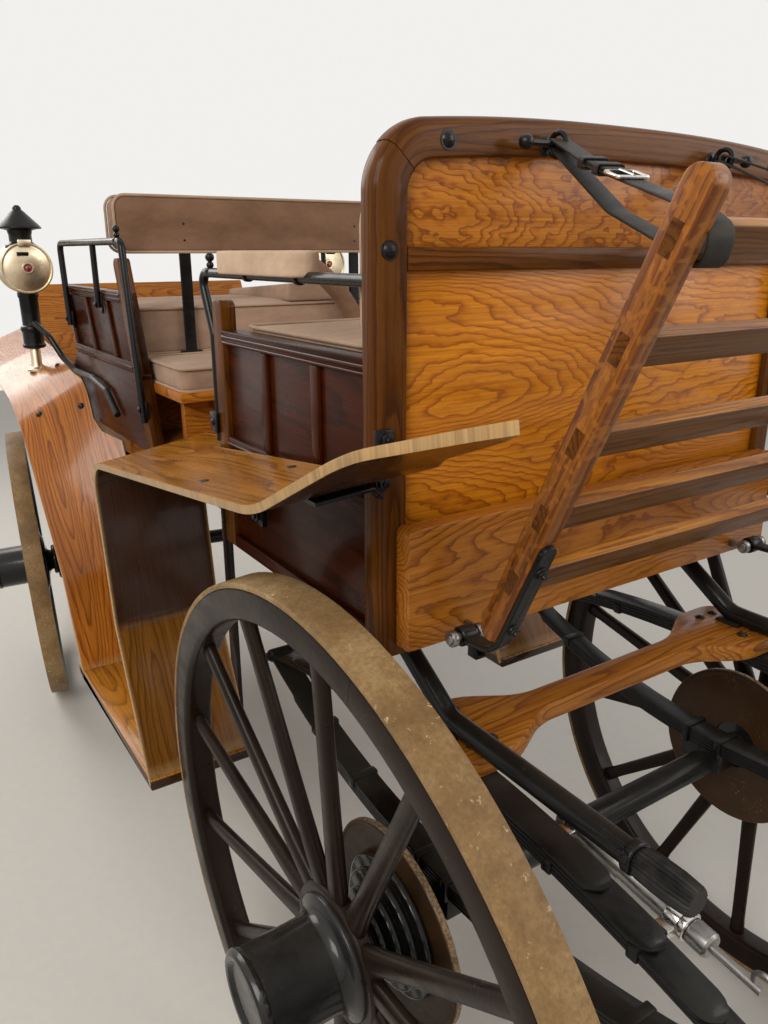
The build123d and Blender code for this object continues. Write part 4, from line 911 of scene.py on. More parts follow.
def hex_nut(at: Vector, direction: Vector, across: float = 17.0, height: float = 9.0) -> BMesh:
    """A six-sided nut on a washer, with the bolt's end showing."""
    part = fresh()
    place = facing(at, direction)
    rise = Matrix.Translation((0, 0, height / 2000))
    bmesh.ops.create_cone(
        part, cap_ends=True, segments=6, radius1=across / 1732, radius2=across / 1732,
        depth=height / 1000, matrix=place @ rise,
    )
    round_off(part, part.edges[:], 0.8)
    join(part, lathe([(0, 2), (across * 0.68, 2), (across * 0.7, -1), (0, -1)], place, 0.4, 24))
    end = [(0, height + 4), (across * 0.24, height + 4), (across * 0.28, height + 3), (across * 0.28, 0), (0, 0)]
    return join(part, lathe(end, place, steps=14))


def join(part: BMesh, other: BMesh) -> BMesh:
    """Adds one mesh to another, and frees it.

    Args:
        part: The mesh that grows.
        other: The mesh that is added.

    Returns:
        The mesh that grew.
    """
    scratch = meshed("scratch", other)
    part.from_mesh(scratch)
    bpy.data.meshes.remove(scratch)
    return part


def plate(
    outline: Sequence[Vector], thick: Vector, edge: float = 1.0, along: Vector | None = None, seed: float = 0.0
) -> BMesh:
    """A flat form of any outline, given thickness.

    Args:
        outline: Its corners, in metres.
        thick: The direction and size of its thickness, in metres.
        edge: The rounding of its edges, in millimetres.
        along: The direction of its grain.
        seed: Moves its figure.

    Returns:
        The mesh.
    """
    part = fresh()
    face = part.faces.new([part.verts.new(point) for point in outline])
    made = bmesh.ops.extrude_face_region(part, geom=[face], use_keep_orig=True)["geom"]
    bmesh.ops.translate(part, vec=thick, verts=verts_in(made))
    bmesh.ops.recalc_face_normals(part, faces=part.faces[:])
    if edge:
        round_off(part, sharp_edges(part, 25), edge)
    return lay_grain(part, along or (outline[1] - outline[0]), seed)


class Form:
    """The solids of one piece, gathered into one mesh."""

    def __init__(self, *parts: BMesh) -> None:
        """Starts with the meshes that are given."""
        self.mesh = fresh()
        for part in parts:
            self.take(part)

    def take(self, part: BMesh) -> "Form":
        """Adds a closed solid."""
        join(self.mesh, part)
        return self

    def mirrored(self) -> "Form":
        """Adds the same solids on the other side of the carriage."""
        geom = self.mesh.verts[:] + self.mesh.edges[:] + self.mesh.faces[:]
        made = bmesh.ops.duplicate(self.mesh, geom=geom)["geom"]
        verts = verts_in(made)
        bmesh.ops.scale(self.mesh, vec=(1, -1, 1), verts=verts)
        bmesh.ops.reverse_faces(self.mesh, faces=[g for g in made if isinstance(g, BMFace)])
        layer = self.mesh.verts.layers.float_vector["grain"]
        for vert in verts:
            vert[layer] = vert[layer] + Vector((5.3, 2.9, 1.7))
        return self

    def moved(self, place: Matrix) -> "Form":
        """Moves the whole form."""
        bmesh.ops.transform(self.mesh, matrix=place, verts=self.mesh.verts[:])
        if place.determinant() < 0:
            bmesh.ops.reverse_faces(self.mesh, faces=self.mesh.faces[:])
        return self

    def wear(self, amount: dict[int, float]) -> "Form":
        """Sets the wear of vertices by their number."""
        self.mesh.verts.ensure_lookup_table()
        layer = self.mesh.verts.layers.float["worn"]
        for index, value in amount.items():
            self.mesh.verts[index][layer] = value
        return self


class Workshop:
    """Turns forms into finished pieces on their bodies."""

    def __init__(self, frame: dict) -> None:
        """Keeps the frame and an empty shelf of materials.
        """
        self.frame = frame
        self.shelf: dict[str, Material] = {}
        self.count = 0

    def material(self, finish: Finish) -> Material:
        """The material of a finish, made once."""
        if finish.name not in self.shelf:
            self.shelf[finish.name] = finish.material()
        return self.shelf[finish.name]

    def hang(
        self, obj: Object, finish: Finish, stands_for: Sequence[str] = (), body: str = Body.CARRIAGE.value
    ) -> Object:
        """Gives an object its finish, its body and the solids that it stands for.

        Args:
            obj: The object.
            finish: Its finish.
            stands_for: The nodes that it replaces.
            body: The body that it rides on, or nothing for a piece that bends between two.

        Returns:
            The object.
        """
        obj.data.materials.clear()
        obj.data.materials.append(self.material(finish))
        if body:
            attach(obj, body)
        if stands_for:
            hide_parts(*stands_for)
        self.count += 1
        LOG.info("%s: %d faces on %s", obj.name, len(obj.data.polygons), body)
        return obj

    def piece(
        self, name: str, form: Form, finish: Finish, stands_for: Sequence[str] = (), smooth: float = 32.0,
        body: str = Body.CARRIAGE.value,
    ) -> Object:
        """Makes a finished piece of a form.

        Args:
            name: The piece's name.
            form: Its form, which is used up.
            finish: Its finish.
            stands_for: The nodes that it replaces.
            smooth: The angle in degrees below which its faces are shaded smooth.
            body: The body that it rides on, or nothing for a piece that bends between two.

        Returns:
            The object.
        """
        data = meshed(name, form.mesh)
        obj = linked(name, data)
        data.polygons.foreach_set("use_smooth", [True] * len(data.polygons))
        data.set_sharp_from_angle(angle=radians(smooth))
        return self.hang(obj, finish, stands_for, body)

    def eased(self, node: str, edge: float, along: Vector | None = None, segments: int = 2) -> Form:
        """A copy of a solid with its facets merged and its edges rounded.

        Args:
            node: The solid's name.
            edge: The rounding of its edges, in millimetres.
            along: The direction of its grain, or None for each board's own longest side.
            segments: How many faces a rounding has.

        Returns:
            The form.
        """
        part = fresh()
        part.from_mesh(self.frame["nodes"][node].data)
        bmesh.ops.remove_doubles(part, verts=part.verts[:], dist=2e-5)
        bmesh.ops.dissolve_limit(
            part, angle_limit=radians(0.8), use_dissolve_boundaries=False, verts=part.verts[:],
            edges=part.edges[:], delimit=set(),
        )
        low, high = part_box(node)
        size = high - low
        longest = max(range(3), key=lambda i: size[i])
        round_off(part, sharp_edges(part, 40), edge, segments)
        return Form(lay_grain(part, along or Matrix.Identity(3)[longest], len(node) * 0.37))


def both_sides(
    shop: Workshop, name: str, make: Callable[[], Form], finish: Finish, node: str = "", smooth: float = 32.0
) -> None:
    """Makes a piece of the left side and its mirror image on the right.

    Args:
        shop: The workshop.
        name: The pieces' name, before their side.
        make: Gives the left side's form each time that it is called.
        finish: Their finish.
        node: The solids' name before their side, or nothing where the pieces replace none.
        smooth: The angle below which faces are shaded smooth.
    """
    for side, place in (("left", Matrix.Identity(4)), ("right", Matrix.Scale(-1, 4, (0, 1, 0)))):
        stands_for = [f"{node}_{side}"] if node else []
        shop.piece(f"{name}_{side}", make().moved(place), finish, stands_for, smooth)


@dataclass
class RearEnd:
    """The rear frame, its panelling, the tail board and their bolts."""

    half: float = 459.0
    rear: float = 28.0
    front: float = 72.0
    top: float = 1787.0
    foot: float = 1063.0
    corner: float = 85.0
    width: float = 50.0
    tail_half: float = 427.0
    arch: float = 20.0
    rail_top: float = 1637.0
    rail_height: float = 30.0
    tail_low: float = 1080.0
    tail_high: float = 1266.0
    tail_rear: float = -4.0

    def frame(self, shop: Workshop) -> None:
        """Two posts bent over at the top and mitred to the rail, round at their outer edges."""
        line = self.half - self.width / 2
        crown = self.top - self.width / 2
        mid = (self.rear + self.front) / 2
        deep, wide = (self.front - self.rear) / 2, self.width / 2
        sides = ((0, -wide), (deep, -wide), (deep, wide), (-deep, wide), (-deep, -wide), (0, -wide))
        bend = rounded_path([Vector((u, v, 0)) / 1000 for u, v in sides], [3, 16, 17, 3], 5)
        section = [(p.x * 1000, p.y * 1000) for p in bend[:-1]]
        corners = [mm(mid, line, self.foot), mm(mid, line, crown), mm(mid, 0, crown)]
        path = rounded_path(corners, [self.corner - self.width / 2], 40)
        form = Form(swept(section, path[:22], X)).mirrored()
        over = path[21:-1] + [mm(mid, 374.0 * (1 - i / 16), crown) for i in range(1, 17)]
        for point in over:
            point.z += self.arch / 1000 * (1 - min(1.0, abs(point.y) / 0.43) ** 2.5)
        over += [Vector((p.x, -p.y, p.z)) for p in reversed(over[:-1])]
        form.take(swept(section, over, X, seed=2.2))
        shop.piece("rear_frame_timber", form, Finishes.FRAME, ["rear_frame"])

    def panels(self, shop: Workshop) -> None:
        """The panels above and below the middle rail, and the rail."""
        inner = self.half - self.width
        low = self.rail_top - self.rail_height
        under = board((38, 54), (-inner, inner), (self.foot, low + 5), 1.0, 1.3)
        over = board((38, 54), (-inner, inner), (self.rail_top - 5, self.top - 14), 1.0, 6.1)
        shop.piece("rear_panelling", Form(under), Finishes.PANEL, ["rear_panel"])
        shop.piece("rear_top_panel", Form(over), Finishes.FLAME)
        rail = board((self.rear - 1, 39), (-inner, inner), (low, self.rail_top), 4.0, 0.6)
        shop.piece("rear_mid_rail", Form(rail), Finishes.FRAME)

    def tail(self, shop: Workshop) -> None:
        """The tail board with its round upper corners."""
        corners = [
            mm(self.tail_rear, self.tail_half, self.tail_low), mm(self.tail_rear, self.tail_half, self.tail_high),
            mm(self.tail_rear, -self.tail_half, self.tail_high), mm(self.tail_rear, -self.tail_half, self.tail_low),
        ]
        outline = rounded_path(corners, [12.0, 12.0])
        thick = Vector(((self.rear - self.tail_rear) / 1000, 0, 0))
        form = Form(plate(outline, thick, 3.0, Y, 4.4))
        shop.piece("tail_board_oak", form, Finishes.TAIL, ["tail_board"])

    def bolts(self, shop: Workshop) -> None:
        """Domed bolts and the eye bolts of the straps."""
        back = -X
        form = Form(domed_bolt(mm(self.rear, 348, 1766), back, 10), domed_bolt(mm(self.rear, 437, 1633), back, 10))
        x, y, z = STRAP_EYE
        ring = [mm(x + 15 * cos(t), y, z + 15 * sin(t)) for t in (2 * pi * i / 28 for i in range(29))]
        form.take(tube(ring, 4.0, 10, closed=True))
        form.take(tube([mm(x + 13, y, z), mm(self.rear + 4, y, z)], 5.0))
        form.take(tube([mm(x, y + 13, z), mm(x, y + 50, z)], 4.2))
        ball = [(10 * sin(i * pi / 10), 10 * cos(i * pi / 10)) for i in range(11)]
        form.take(lathe(ball, facing(mm(x, y + 58, z), Y), steps=20))
        form.take(lathe([(0, 4), (10, 4), (13, 1), (13, 0), (0, 0)], facing(mm(self.rear, y, z), back), 0.6))
        shop.piece("frame_bolts", form.mirrored(), Finishes.IRON, ["frame_irons"])

    def build(self, shop: Workshop) -> None:
        """Makes every piece of the rear end."""
        self.frame(shop)
        self.panels(shop)
        self.tail(shop)
        self.bolts(shop)


@dataclass
class RearSides:
    """The sides of the rear compartment: panel, battens, mouldings and the front post."""

    outer: float = 437.0
    inner: float = 407.0
    face: float = 428.0
    rear: float = 72.0
    post: float = 594.0
    front: float = 640.0
    foot: float = 1063.0
    waist: float = 1290.0
    top: float = 1492.0
    post_top: float = 1546.0

    def panel(self) -> Form:
        """The panel with its battens and bands."""
        run = (self.rear, self.post)
        form = Form(board(run, (self.inner, self.face), (self.foot, self.top - 2), 1.0, 2.7))
        for low, high in ((self.top - 26, self.top), (self.waist - 26, self.waist), (self.foot, self.foot + 26)):
            form.take(board(run, (self.face - 1, self.outer), (low, high), 2.5, low / 700))
        bay = (self.post - self.rear - 52) / 3
        for i in (1, 2):
            start = self.rear + i * bay + (i - 1) * 26
            form.take(board((start, start + 26), (self.face - 1, self.outer), (self.waist, self.top - 26), 3.5, i))
        form.take(board(run, (self.inner - 4, self.outer + 4), (self.top - 6, self.top + 1), 2.5, 0.2))
        for height, radius in ((self.top - 12, 3.6), (self.top - 22, 2.6), (self.waist - 13, 3.0)):
            bead = [mm(self.rear, self.outer, height), mm(self.post, self.outer, height)]
            form.take(tube(bead, radius, 12))
        return form

    def corner_post(self) -> Form:
        """The post with its round top."""
        corners = [
            mm(self.post, self.inner, self.foot), mm(self.post, self.inner, self.post_top),
            mm(self.front, self.inner, self.post_top), mm(self.front, self.inner, self.foot),
        ]
        thick = Vector((0, (self.outer - self.inner) / 1000, 0))
        return Form(plate(rounded_path(corners, [16.0, 16.0]), thick, 3.0, Z, 1.9))

    def build(self, shop: Workshop) -> None:
        """Makes both sides."""
        both_sides(shop, "rear_side_panel", self.panel, Finishes.SIDE, "rear_side")
        both_sides(shop, "rear_side_post", self.corner_post, Finishes.FRAME)


@dataclass
class FrontSides:
    """The sides of the front compartment, with their leaning post and raking panel."""

    outer: float = 437.0
    inner: float = 407.0
    face: float = 428.0
    foot_x: float = 1071.0
    foot: float = 1150.0
    lean: float = 19.0
    post_width: float = 46.0
    post_top: float = 1617.0
    top: float = 1536.0
    low: float = 1342.0
    front_low: float = 1760.0
    front_high: float = 1850.0

    def back(self, z: float) -> float:
        """X of the post's rear edge at a height."""
        return self.foot_x + (z - self.foot) * tan(radians(self.lean))

    def fore(self, z: float) -> float:
        """X of the panel's front edge at a height."""
        share = (z - self.low) / (self.top - self.low)
        return self.front_low + share * (self.front_high - self.front_low)

    def strip(self, z0: float, z1: float, y0: float, y1: float, edge: float, seed: float) -> BMesh:
        """A level strip from the post to the panel's front edge, between two heights and two faces."""
        corners = [(self.back(z0), z0), (self.fore(z0), z0), (self.fore(z1), z1), (self.back(z1), z1)]
        return plate([mm(x, y0, z) for x, z in corners], Vector((0, (y1 - y0) / 1000, 0)), edge, X, seed)

    def panel(self) -> Form:
        """The panel with its leaning battens and its bands."""
        form = Form(self.strip(self.low, self.top, self.inner, self.face, 1.0, 3.1))
        form.take(self.strip(self.low, self.low + 26, self.face - 1, self.outer, 2.5, 0.4))
        form.take(self.strip(self.top - 26, self.top, self.face - 1, self.outer, 2.5, 0.9))
        low, high = self.low + 26, self.top - 26
        for i, share in enumerate((0.33, 0.66, 1.0)):
            foot = self.back(low) + share * (self.fore(low) - self.back(low))
            head = self.back(high) + share * (self.fore(high) - self.back(high))
            corners = [(foot - 26, low), (foot, low), (head, high), (head - 26, high)]
            outline = [mm(x, self.face - 1, z) for x, z in corners]
            thick = Vector((0, (self.outer - self.face + 1) / 1000, 0))
            form.take(plate(outline, thick, 3.0, Vector((0.3, 0, 1)), 1.1 * i))
        for height, radius in ((self.top - 8, 3.4), (self.top - 18, 2.6), (self.low + 13, 3.0)):
            bead = [mm(self.back(height) + 48, self.outer, height), mm(self.fore(height), self.outer, height)]
            form.take(tube(bead, radius, 12))
        corners = [
            (self.back(self.foot), self.foot), (1880, self.foot), (1880, 1260), (self.front_low, self.low),
            (self.back(self.low), self.low),
        ]
        outline = [mm(x, self.inner, z) for x, z in corners]
        form.take(plate(outline, Vector((0, (self.outer - self.inner) / 1000, 0)), 2.0, X, 5.2))
        return form

    def post(self) -> Form:
        """The leaning post."""
        width = self.post_width / cos(radians(self.lean))
        low, high = self.foot, self.post_top
        corners = [
            mm(self.back(low), self.inner, low), mm(self.back(high), self.inner, high),
            mm(self.back(high) + width, self.inner, high), mm(self.back(low) + width, self.inner, low),
        ]
        thick = Vector((0, (self.outer - self.inner + 1) / 1000, 0))
        return Form(plate(rounded_path(corners, [14.0, 16.0]), thick, 3.0, Vector((0.33, 0, 1)), 0.8))

    def build(self, shop: Workshop) -> None:
        """Makes both sides."""
        both_sides(shop, "front_side_panel", self.panel, Finishes.SIDE, "front_side")
        both_sides(shop, "front_side_post", self.post, Finishes.FRAME)


@dataclass
class Joinery:
    """The deck, the seat boards with their risers, and the toe board."""

    half: float = 407.0
    deck: float = 1171.0
    thick: float = 24.0

    def seat(self, shop: Workshop, node: str, run: tuple[float, float], top: float, risers: Sequence[float]) -> None:
        """A seat board on its risers.

        Args:
            shop: The workshop.
            node: The solid that it replaces.
            run: Its rear and front edges in X.
            top: Its top.
            risers: The rear face of each riser.
        """
        low = top - self.thick
        form = Form(board(run, (-self.half, self.half), (low, top), 4.0, top / 300))
        inner = 380.0 if node == "middle_seat" else self.half
        for start in risers:
            form.take(board((start, start + self.thick), (-inner, inner), (self.deck, low), 2.0, start / 200))
        shop.piece(f"{node}_boards", form, Finishes.TAIL, [node])

    def toe(self, shop: Workshop) -> None:
        """The toe board, bent forwards over the futchells."""
        run = 335 * tan(radians(27))
        corners = [(2330, 1090), (2356, 1090), (2356, 1180), (2356 + run, 1515), (2330 + run, 1515), (2330, 1180)]
        form = Form(plate([mm(x, -437, z) for x, z in corners], Vector((0, 0.874, 0)), 3.0, Y, 3.6))
        for y in (-300, 0, 300):
            form.take(board((2322, 2331), (y - 25, y + 25), (1095, 1178), 2.0, 0.5))
        shop.piece("toe_board_timber", form, Finishes.TAIL, ["toe_board"])

    def build(self, shop: Workshop) -> None:
        """Makes the joinery."""
        form = shop.eased("floor", 2.0, X)
        shop.piece("floor_frame", form, Finishes.FLOOR, ["floor"])
        form = Form()
        for i in range(6):
            start = -375 + i * 125.0
            form.take(board((640, 1071), (start + 0.8, start + 124.2), (self.deck - 1, self.deck + 2), 1.0, i * 1.3))
        for i in range(6):
            start = -402 + i * 134.0
            form.take(board((1882, 2328), (start + 0.8, start + 133.2), (self.deck - 1, self.deck + 2), 1.0, i * 1.7))
        shop.piece("deck_boards", form, Finishes.FLOOR)
        self.seat(shop, "rear_seat", (72, 560), 1420, (536,))
        self.seat(shop, "middle_seat", (940, 1250), 1322, (1000,))
        self.seat(shop, "front_seat", (1250, 1800), 1375, (1250, 1776))
        self.toe(shop)


class Seam(Enum):
    """Which faces of a cushion its seams run around."""

    LEVEL = 2
    UPRIGHT = 0


@dataclass
class Cushion:
    """A padded form swollen between its seams, with piping along them."""

    name: str
    x: tuple[float, float]
    y: tuple[float, float]
    z: tuple[float, float]
    finish: Finish
    seam: Seam
    nodes: tuple[str, ...]
    corner: float = 30.0
    voxel: float = 6.0
    swell: float = 12.0
    pressure: float = 4.0
    piped: bool = True
    mirror: bool = False

    def limits(self) -> tuple[Vector, Vector]:
        """Its lowest and highest corner."""
        return mm(self.x[0], self.y[0], self.z[0]), mm(self.x[1], self.y[1], self.z[1])

    def outline(self, share: float, inset: float) -> list[Vector]:
        """The seam's line around the face at a share of the thickness.

        Args:
            share: 0 at the lower or rear face, 1 at the upper or front one.
            inset: How far inside the edge it runs, in millimetres.

        Returns:
            A closed line of points.
        """
        low, high = self.limits()
        axis = self.seam.value
        first, second = [i for i in range(3) if i != axis]
        level = low[axis] + (high[axis] - low[axis]) * share
        corners = []
        gap = inset / 1000
        for a, b in ((low, low), (high, low), (high, high), (low, high)):
            point = Vector((0, 0, 0))
            point[axis] = level
            point[first] = a[first] + (gap if a is low else -gap)
            point[second] = b[second] + (gap if b is low else -gap)
            corners.append(point)
        size = min((high - low)[first], (high - low)[second]) * 1000
        radius = min(self.corner, size / 2.2)
        start = (corners[0] + corners[1]) / 2
        return rounded_path([start, *corners[1:], corners[0], start], [radius] * 4, 5)

    def shell(self) -> BMesh:
        """The closed form before it swells."""
        low, high = self.limits()
        axis = self.seam.value
        part = fresh()
        inset = 5.0
        line = self.outline(0.0, inset)[:-1]
        face = part.faces.new([part.verts.new(p) for p in line])
        thick = Vector((0, 0, 0))
        thick[axis] = (high - low)[axis]
        made = bmesh.ops.extrude_face_region(part, geom=[face], use_keep_orig=True)["geom"]
        bmesh.ops.translate(part, vec=thick, verts=verts_in(made))
        bmesh.ops.recalc_face_normals(part, faces=part.faces[:])
        return part

    def settled(self, obj: Object) -> Mesh:
        """The object's mesh with its modifiers applied."""
        graph = bpy.context.evaluated_depsgraph_get()
        return bpy.data.meshes.new_from_object(obj.evaluated_get(graph))

    def swollen(self, obj: Object) -> None:
        """Remeshes the form, lets it swell between its seams, and smooths it.

        Args:
            obj: The object that holds the form.
        """
        remesh = obj.modifiers.new("remesh", "REMESH")
        remesh.mode = "VOXEL"
        remesh.voxel_size = self.voxel / 1000
        data = self.settled(obj)
        obj.modifiers.clear()
        obj.data = data
        low, high = self.limits()
        axis = self.seam.value
        sides = [i for i in range(3) if i != axis]
        start = [v.co.copy() for v in data.vertices]
        held = obj.vertex_groups.new(name="seam")
        near = 1.3 * self.voxel / 1000
        for index, point in enumerate(start):
            reach = min(abs(point[axis] - low[axis]), abs(point[axis] - high[axis]))
            edge = min(min(point[i] - low[i], high[i] - point[i]) for i in sides)
            if reach < near and edge < near + 0.005:
                held.add([index], 1.0, "REPLACE")
        cloth = obj.modifiers.new("cloth", "CLOTH")
        cloth.settings.use_pressure = True
        cloth.settings.uniform_pressure_force = self.pressure
        cloth.settings.effector_weights.gravity = 0.0
        cloth.settings.vertex_group_mass = "seam"
        cloth.settings.quality = 4
        scene = bpy.context.scene
        for frame in range(1, 21):
            scene.frame_set(frame)
        moved = self.settled(obj)
        scene.frame_set(1)
        obj.modifiers.clear()
        cap = self.swell / 1000
        for vert, point, new in zip(data.vertices, start, moved.vertices):
            step = new.co - point
            if step.length > cap:
                step = step.normalized() * cap
            goal = point + step
            goal[axis] = max(goal[axis], low[axis])
            vert.co = goal
        bpy.data.meshes.remove(moved)
        obj.vertex_groups.clear()
        smooth = obj.modifiers.new("smooth", "SMOOTH")
        smooth.factor = 0.5
        smooth.iterations = 3
        divide = obj.modifiers.new("divide", "SUBSURF")
        divide.levels = divide.render_levels = 1
        data = self.settled(obj)
        obj.modifiers.clear()
        obj.data = data
        data.polygons.foreach_set("use_smooth", [True] * len(data.polygons))

    def build(self, shop: Workshop) -> None:
        """Makes the cushion, and its piping where it has some."""
        obj = linked(self.name, meshed(self.name, self.shell()))
        self.swollen(obj)
        if self.mirror:
            twin = bmesh.new()
            twin.from_mesh(obj.data)
            form = Form(twin).mirrored()
            form.mesh.to_mesh(obj.data)
            form.mesh.free()
            obj.data.polygons.foreach_set("use_smooth", [True] * len(obj.data.polygons))
        shop.hang(obj, self.finish, self.nodes)
        if self.piped:
            form = Form()
            for share in (0.0, 1.0):
                line = self.outline(share, 3.0)
                form.take(tube(line, 3.6, 8, closed=True))
            if self.mirror:
                form.mirrored()
            piping = shop.piece(f"{self.name}_piping", form, Finishes.PIPING)


@dataclass
class Upholstery:
    """Every cushion of the carriage, and the driver's roll."""

    def roll(self, shop: Workshop) -> None:
        """The curved roll that stands against the seat back."""
        a, b, c = Vector((-262, 1395)), Vector((-175, 1530)), Vector((-60, 1612))
        line = []
        for i in range(25):
            t = i / 24
            flat = a * (1 - t) ** 2 + (b * 2 - (a + c) * 0.5) * 2 * t * (1 - t) + c * t * t
            line.append(mm(1230.7, flat.x, flat.y))
        ends = [min(1.0, 0.35 + 0.65 * sin(min(i, 24 - i) / 4 * pi / 2)) if min(i, 24 - i) < 4 else 1.0
                for i in range(25)]
        form = Form(swept(circle(27.0, 24), line, widths=[(w, w) for w in ends]))
        obj = shop.piece("curved_roll", form, Finishes.BACK, ["back_roll"], 60)

    def wedge(self, shop: Workshop) -> None:
        """The driver's sloping box on the seat."""
        corners = [(1300, 1494.5), (1740, 1494.5), (1740, 1515), (1300, 1545)]
        outline = [mm(x, -403, z) for x, z in corners]
        part = plate(outline, Vector((0, 0.343, 0)), 7.0)
        bmesh.ops.subdivide_edges(part, edges=part.edges[:], cuts=2, use_grid_fill=True)
        obj = shop.piece("driver_box", Form(part), Finishes.SEAT, ["driver_wedge"], 60)

    def build(self, shop: Workshop) -> None:
        """Makes the upholstery."""
        level, upright = Seam.LEVEL, Seam.UPRIGHT
        seat, back, arm = Finishes.SEAT, Finishes.BACK, Finishes.ARM
        cushions = [
            Cushion("rear_seat_pad", (133, 575), (-403, 403), (1421, 1500), seat, level, ("rear_cushion",), 30, 8.0),
            Cushion("rear_back_pad", (73, 130), (-418, 418), (1495, 1710), seat, upright,
                    ("rear_back_cushion",), 40, 7.0, 10.0),
            Cushion("middle_seat_pad", (943, 1246), (-400, 400), (1323, 1374), seat, level,
                    ("middle_cushion",), 24, 7.0, 10.0),
            Cushion("front_seat_pad", (1274, 1796), (-400, 400), (1376, 1490), seat, level,
                    ("front_cushion",), 30, 8.0),
            Cushion("driver_back_pad", (1255, 1326), (-433, 433), (1628, 1768), back, upright,
                    ("driver_back_cushion",), 30, 5.0, 14.0, 6.0),
            Cushion("arm_pad", (248, 572), (396, 466), (1594, 1633), arm, level, ("arm_pads",), 32, 4.0, 10.0, 6.0,
                    piped=False, mirror=True),
        ]
        for cushion in cushions:
            cushion.build(shop)
        self.roll(shop)
        self.wedge(shop)


@dataclass
class BentGuard:
    """A mudguard bent in one sheet, canted, with worn edges."""

    name: str
    table: Sequence[tuple[float, float, float, float]]
    radii: Sequence[float]
    finish: Finish
    body_low: float
    tail: bool
    outer: float = 630.0
    inner: float = 388.0
    body: float = 447.0
    thick: float = 12.0
    edge: float = 5.4
    round_end: float = 26.0

    def lines(self) -> list[tuple[Vector, Vector]]:
        """Points of the outer and inner edge, level with each other along the sheet."""
        rows = self.table
        outer = rounded_path([mm(x, self.outer, z) for x, z, _, _ in rows], self.radii, 12)
        inner = rounded_path([mm(x + dx, self.inner, z + dz) for x, z, dx, dz in rows], self.radii, 12)
        made = [(outer[0], inner[0])]
        for a, b, c, d in zip(outer, outer[1:], inner, inner[1:]):
            count = max(1, ceil((b - a).length / 0.045))
            made += [(a.lerp(b, i / count), c.lerp(d, i / count)) for i in range(1, count + 1)]
        if self.tail:
            made = self.notched(made)
        return made

    def notched(self, rows: list[tuple[Vector, Vector]]) -> list[tuple[Vector, Vector]]:
        """Adds a row on each side of the notch around the body's post."""
        made = []
        for before, after in zip(rows, rows[1:]):
            made.append(before)
            for x in (mm(651, 0, 0).x, mm(649, 0, 0).x):
                if before[0].x > x > after[0].x:
                    share = (before[0].x - x) / (before[0].x - after[0].x)
                    made.append((before[0].lerp(after[0], share), before[1].lerp(after[1], share)))
        return [*made, rows[-1]]

    def limits(self, row: tuple[Vector, Vector], left: float) -> tuple[float, float]:
        """The outer and inner Y of a row, in millimetres.

        Args:
            row: The row's outer and inner point.
            left: The length of sheet that is left to its end, in millimetres.

        Returns:
            The two places.
        """
        x = row[0].x * 1000 - SHIFT
        if not self.tail:
            z0, z1 = row[0].z * 1000, row[1].z * 1000
            if z1 <= self.body_low:
                return self.outer, self.inner
            share = (self.body_low - z0) / (z1 - z0)
            reach = self.outer + (self.inner - self.outer) * share
            return self.outer, min(self.body, max(self.inner, reach))
        near = self.inner if x > 650 else self.body
        if x < 110:
            near += min(1.0, (110 - x) / 50) * 15
        if x < 60:
            near += 118 * ((60 - x) / 430) ** 1.7
        far = self.outer if x > -200 else self.outer - (-200 - x) / 200 * 24
        if left < self.round_end:
            shrink = 1 - sqrt(max(0.02, 1 - ((self.round_end - left) / self.round_end) ** 2))
            middle = (near + far) / 2
            near, far = near + (middle - near) * shrink, far + (middle - far) * shrink
        return far, near

    def sheet(self) -> BMesh:
        """The bent sheet, without thickness."""
        part = fresh()
        grain = part.verts.layers.float_vector["grain"]
        worn = part.verts.layers.float["worn"]
        shares = (0.0, 0.012, 0.03, 0.12, 0.25, 0.4, 0.55, 0.7, 0.85, 0.97, 0.988, 1.0)
        ring = [part.verts.new((0, 0, s)) for s in shares]
        edges = [part.edges.new(pair) for pair in zip(ring, ring[1:])]
        rows = self.lines()
        total = sum((b[0] - a[0]).length for a, b in zip(rows, rows[1:])) * 1000
        run = 0.0
        for i, row in enumerate(rows):
            if i:
                run += (row[0] - rows[i - 1][0]).length * 1000
                made, edges = grown(part, edges)
                fellows, follower = set(made), {}
                for a, b in (edge.verts for edge in part.edges):
                    if (a in fellows) != (b in fellows):
                        old, new = (b, a) if a in fellows else (a, b)
                        follower[old] = new
                ring = [follower[v] for v in ring]
            far, near = self.limits(row, total - run)
            for vert, share in zip(ring, shares):
                y = far + (near - far) * share
                across = (self.outer - y) / (self.outer - self.inner)
                vert.co = row[0].lerp(row[1], across)
                vert[grain] = Vector((run / 1000 + len(self.name), across * 0.242, 0.0))
                vert[worn] = 0.9 if share in (0.0, 1.0) else (0.35 if share in (0.012, 0.988) else 0.0)
        for vert in part.verts:
            if vert.is_boundary:
                vert[worn] = 1.0
        bmesh.ops.recalc_face_normals(part, faces=part.faces[:])
        return part

    def form(self) -> Form:
        """The sheet with its thickness and rounded edges."""
        obj = linked("sheet", meshed("sheet", self.sheet()))
        wall = obj.modifiers.new("wall", "SOLIDIFY")
        wall.thickness = self.thick / 1000
        wall.offset = 0.0
        wall.use_even_offset = True
        ease = obj.modifiers.new("ease", "BEVEL")
        ease.width = self.edge / 1000
        ease.segments = 4
        ease.limit_method = "ANGLE"
        ease.angle_limit = radians(50)
        graph = bpy.context.evaluated_depsgraph_get()
        solid = bpy.data.meshes.new_from_object(obj.evaluated_get(graph))
        bpy.data.objects.remove(obj)
        made = bmesh.new()
        made.from_mesh(solid)
        bmesh.ops.recalc_face_normals(made, faces=made.faces[:])
        return Form(made)

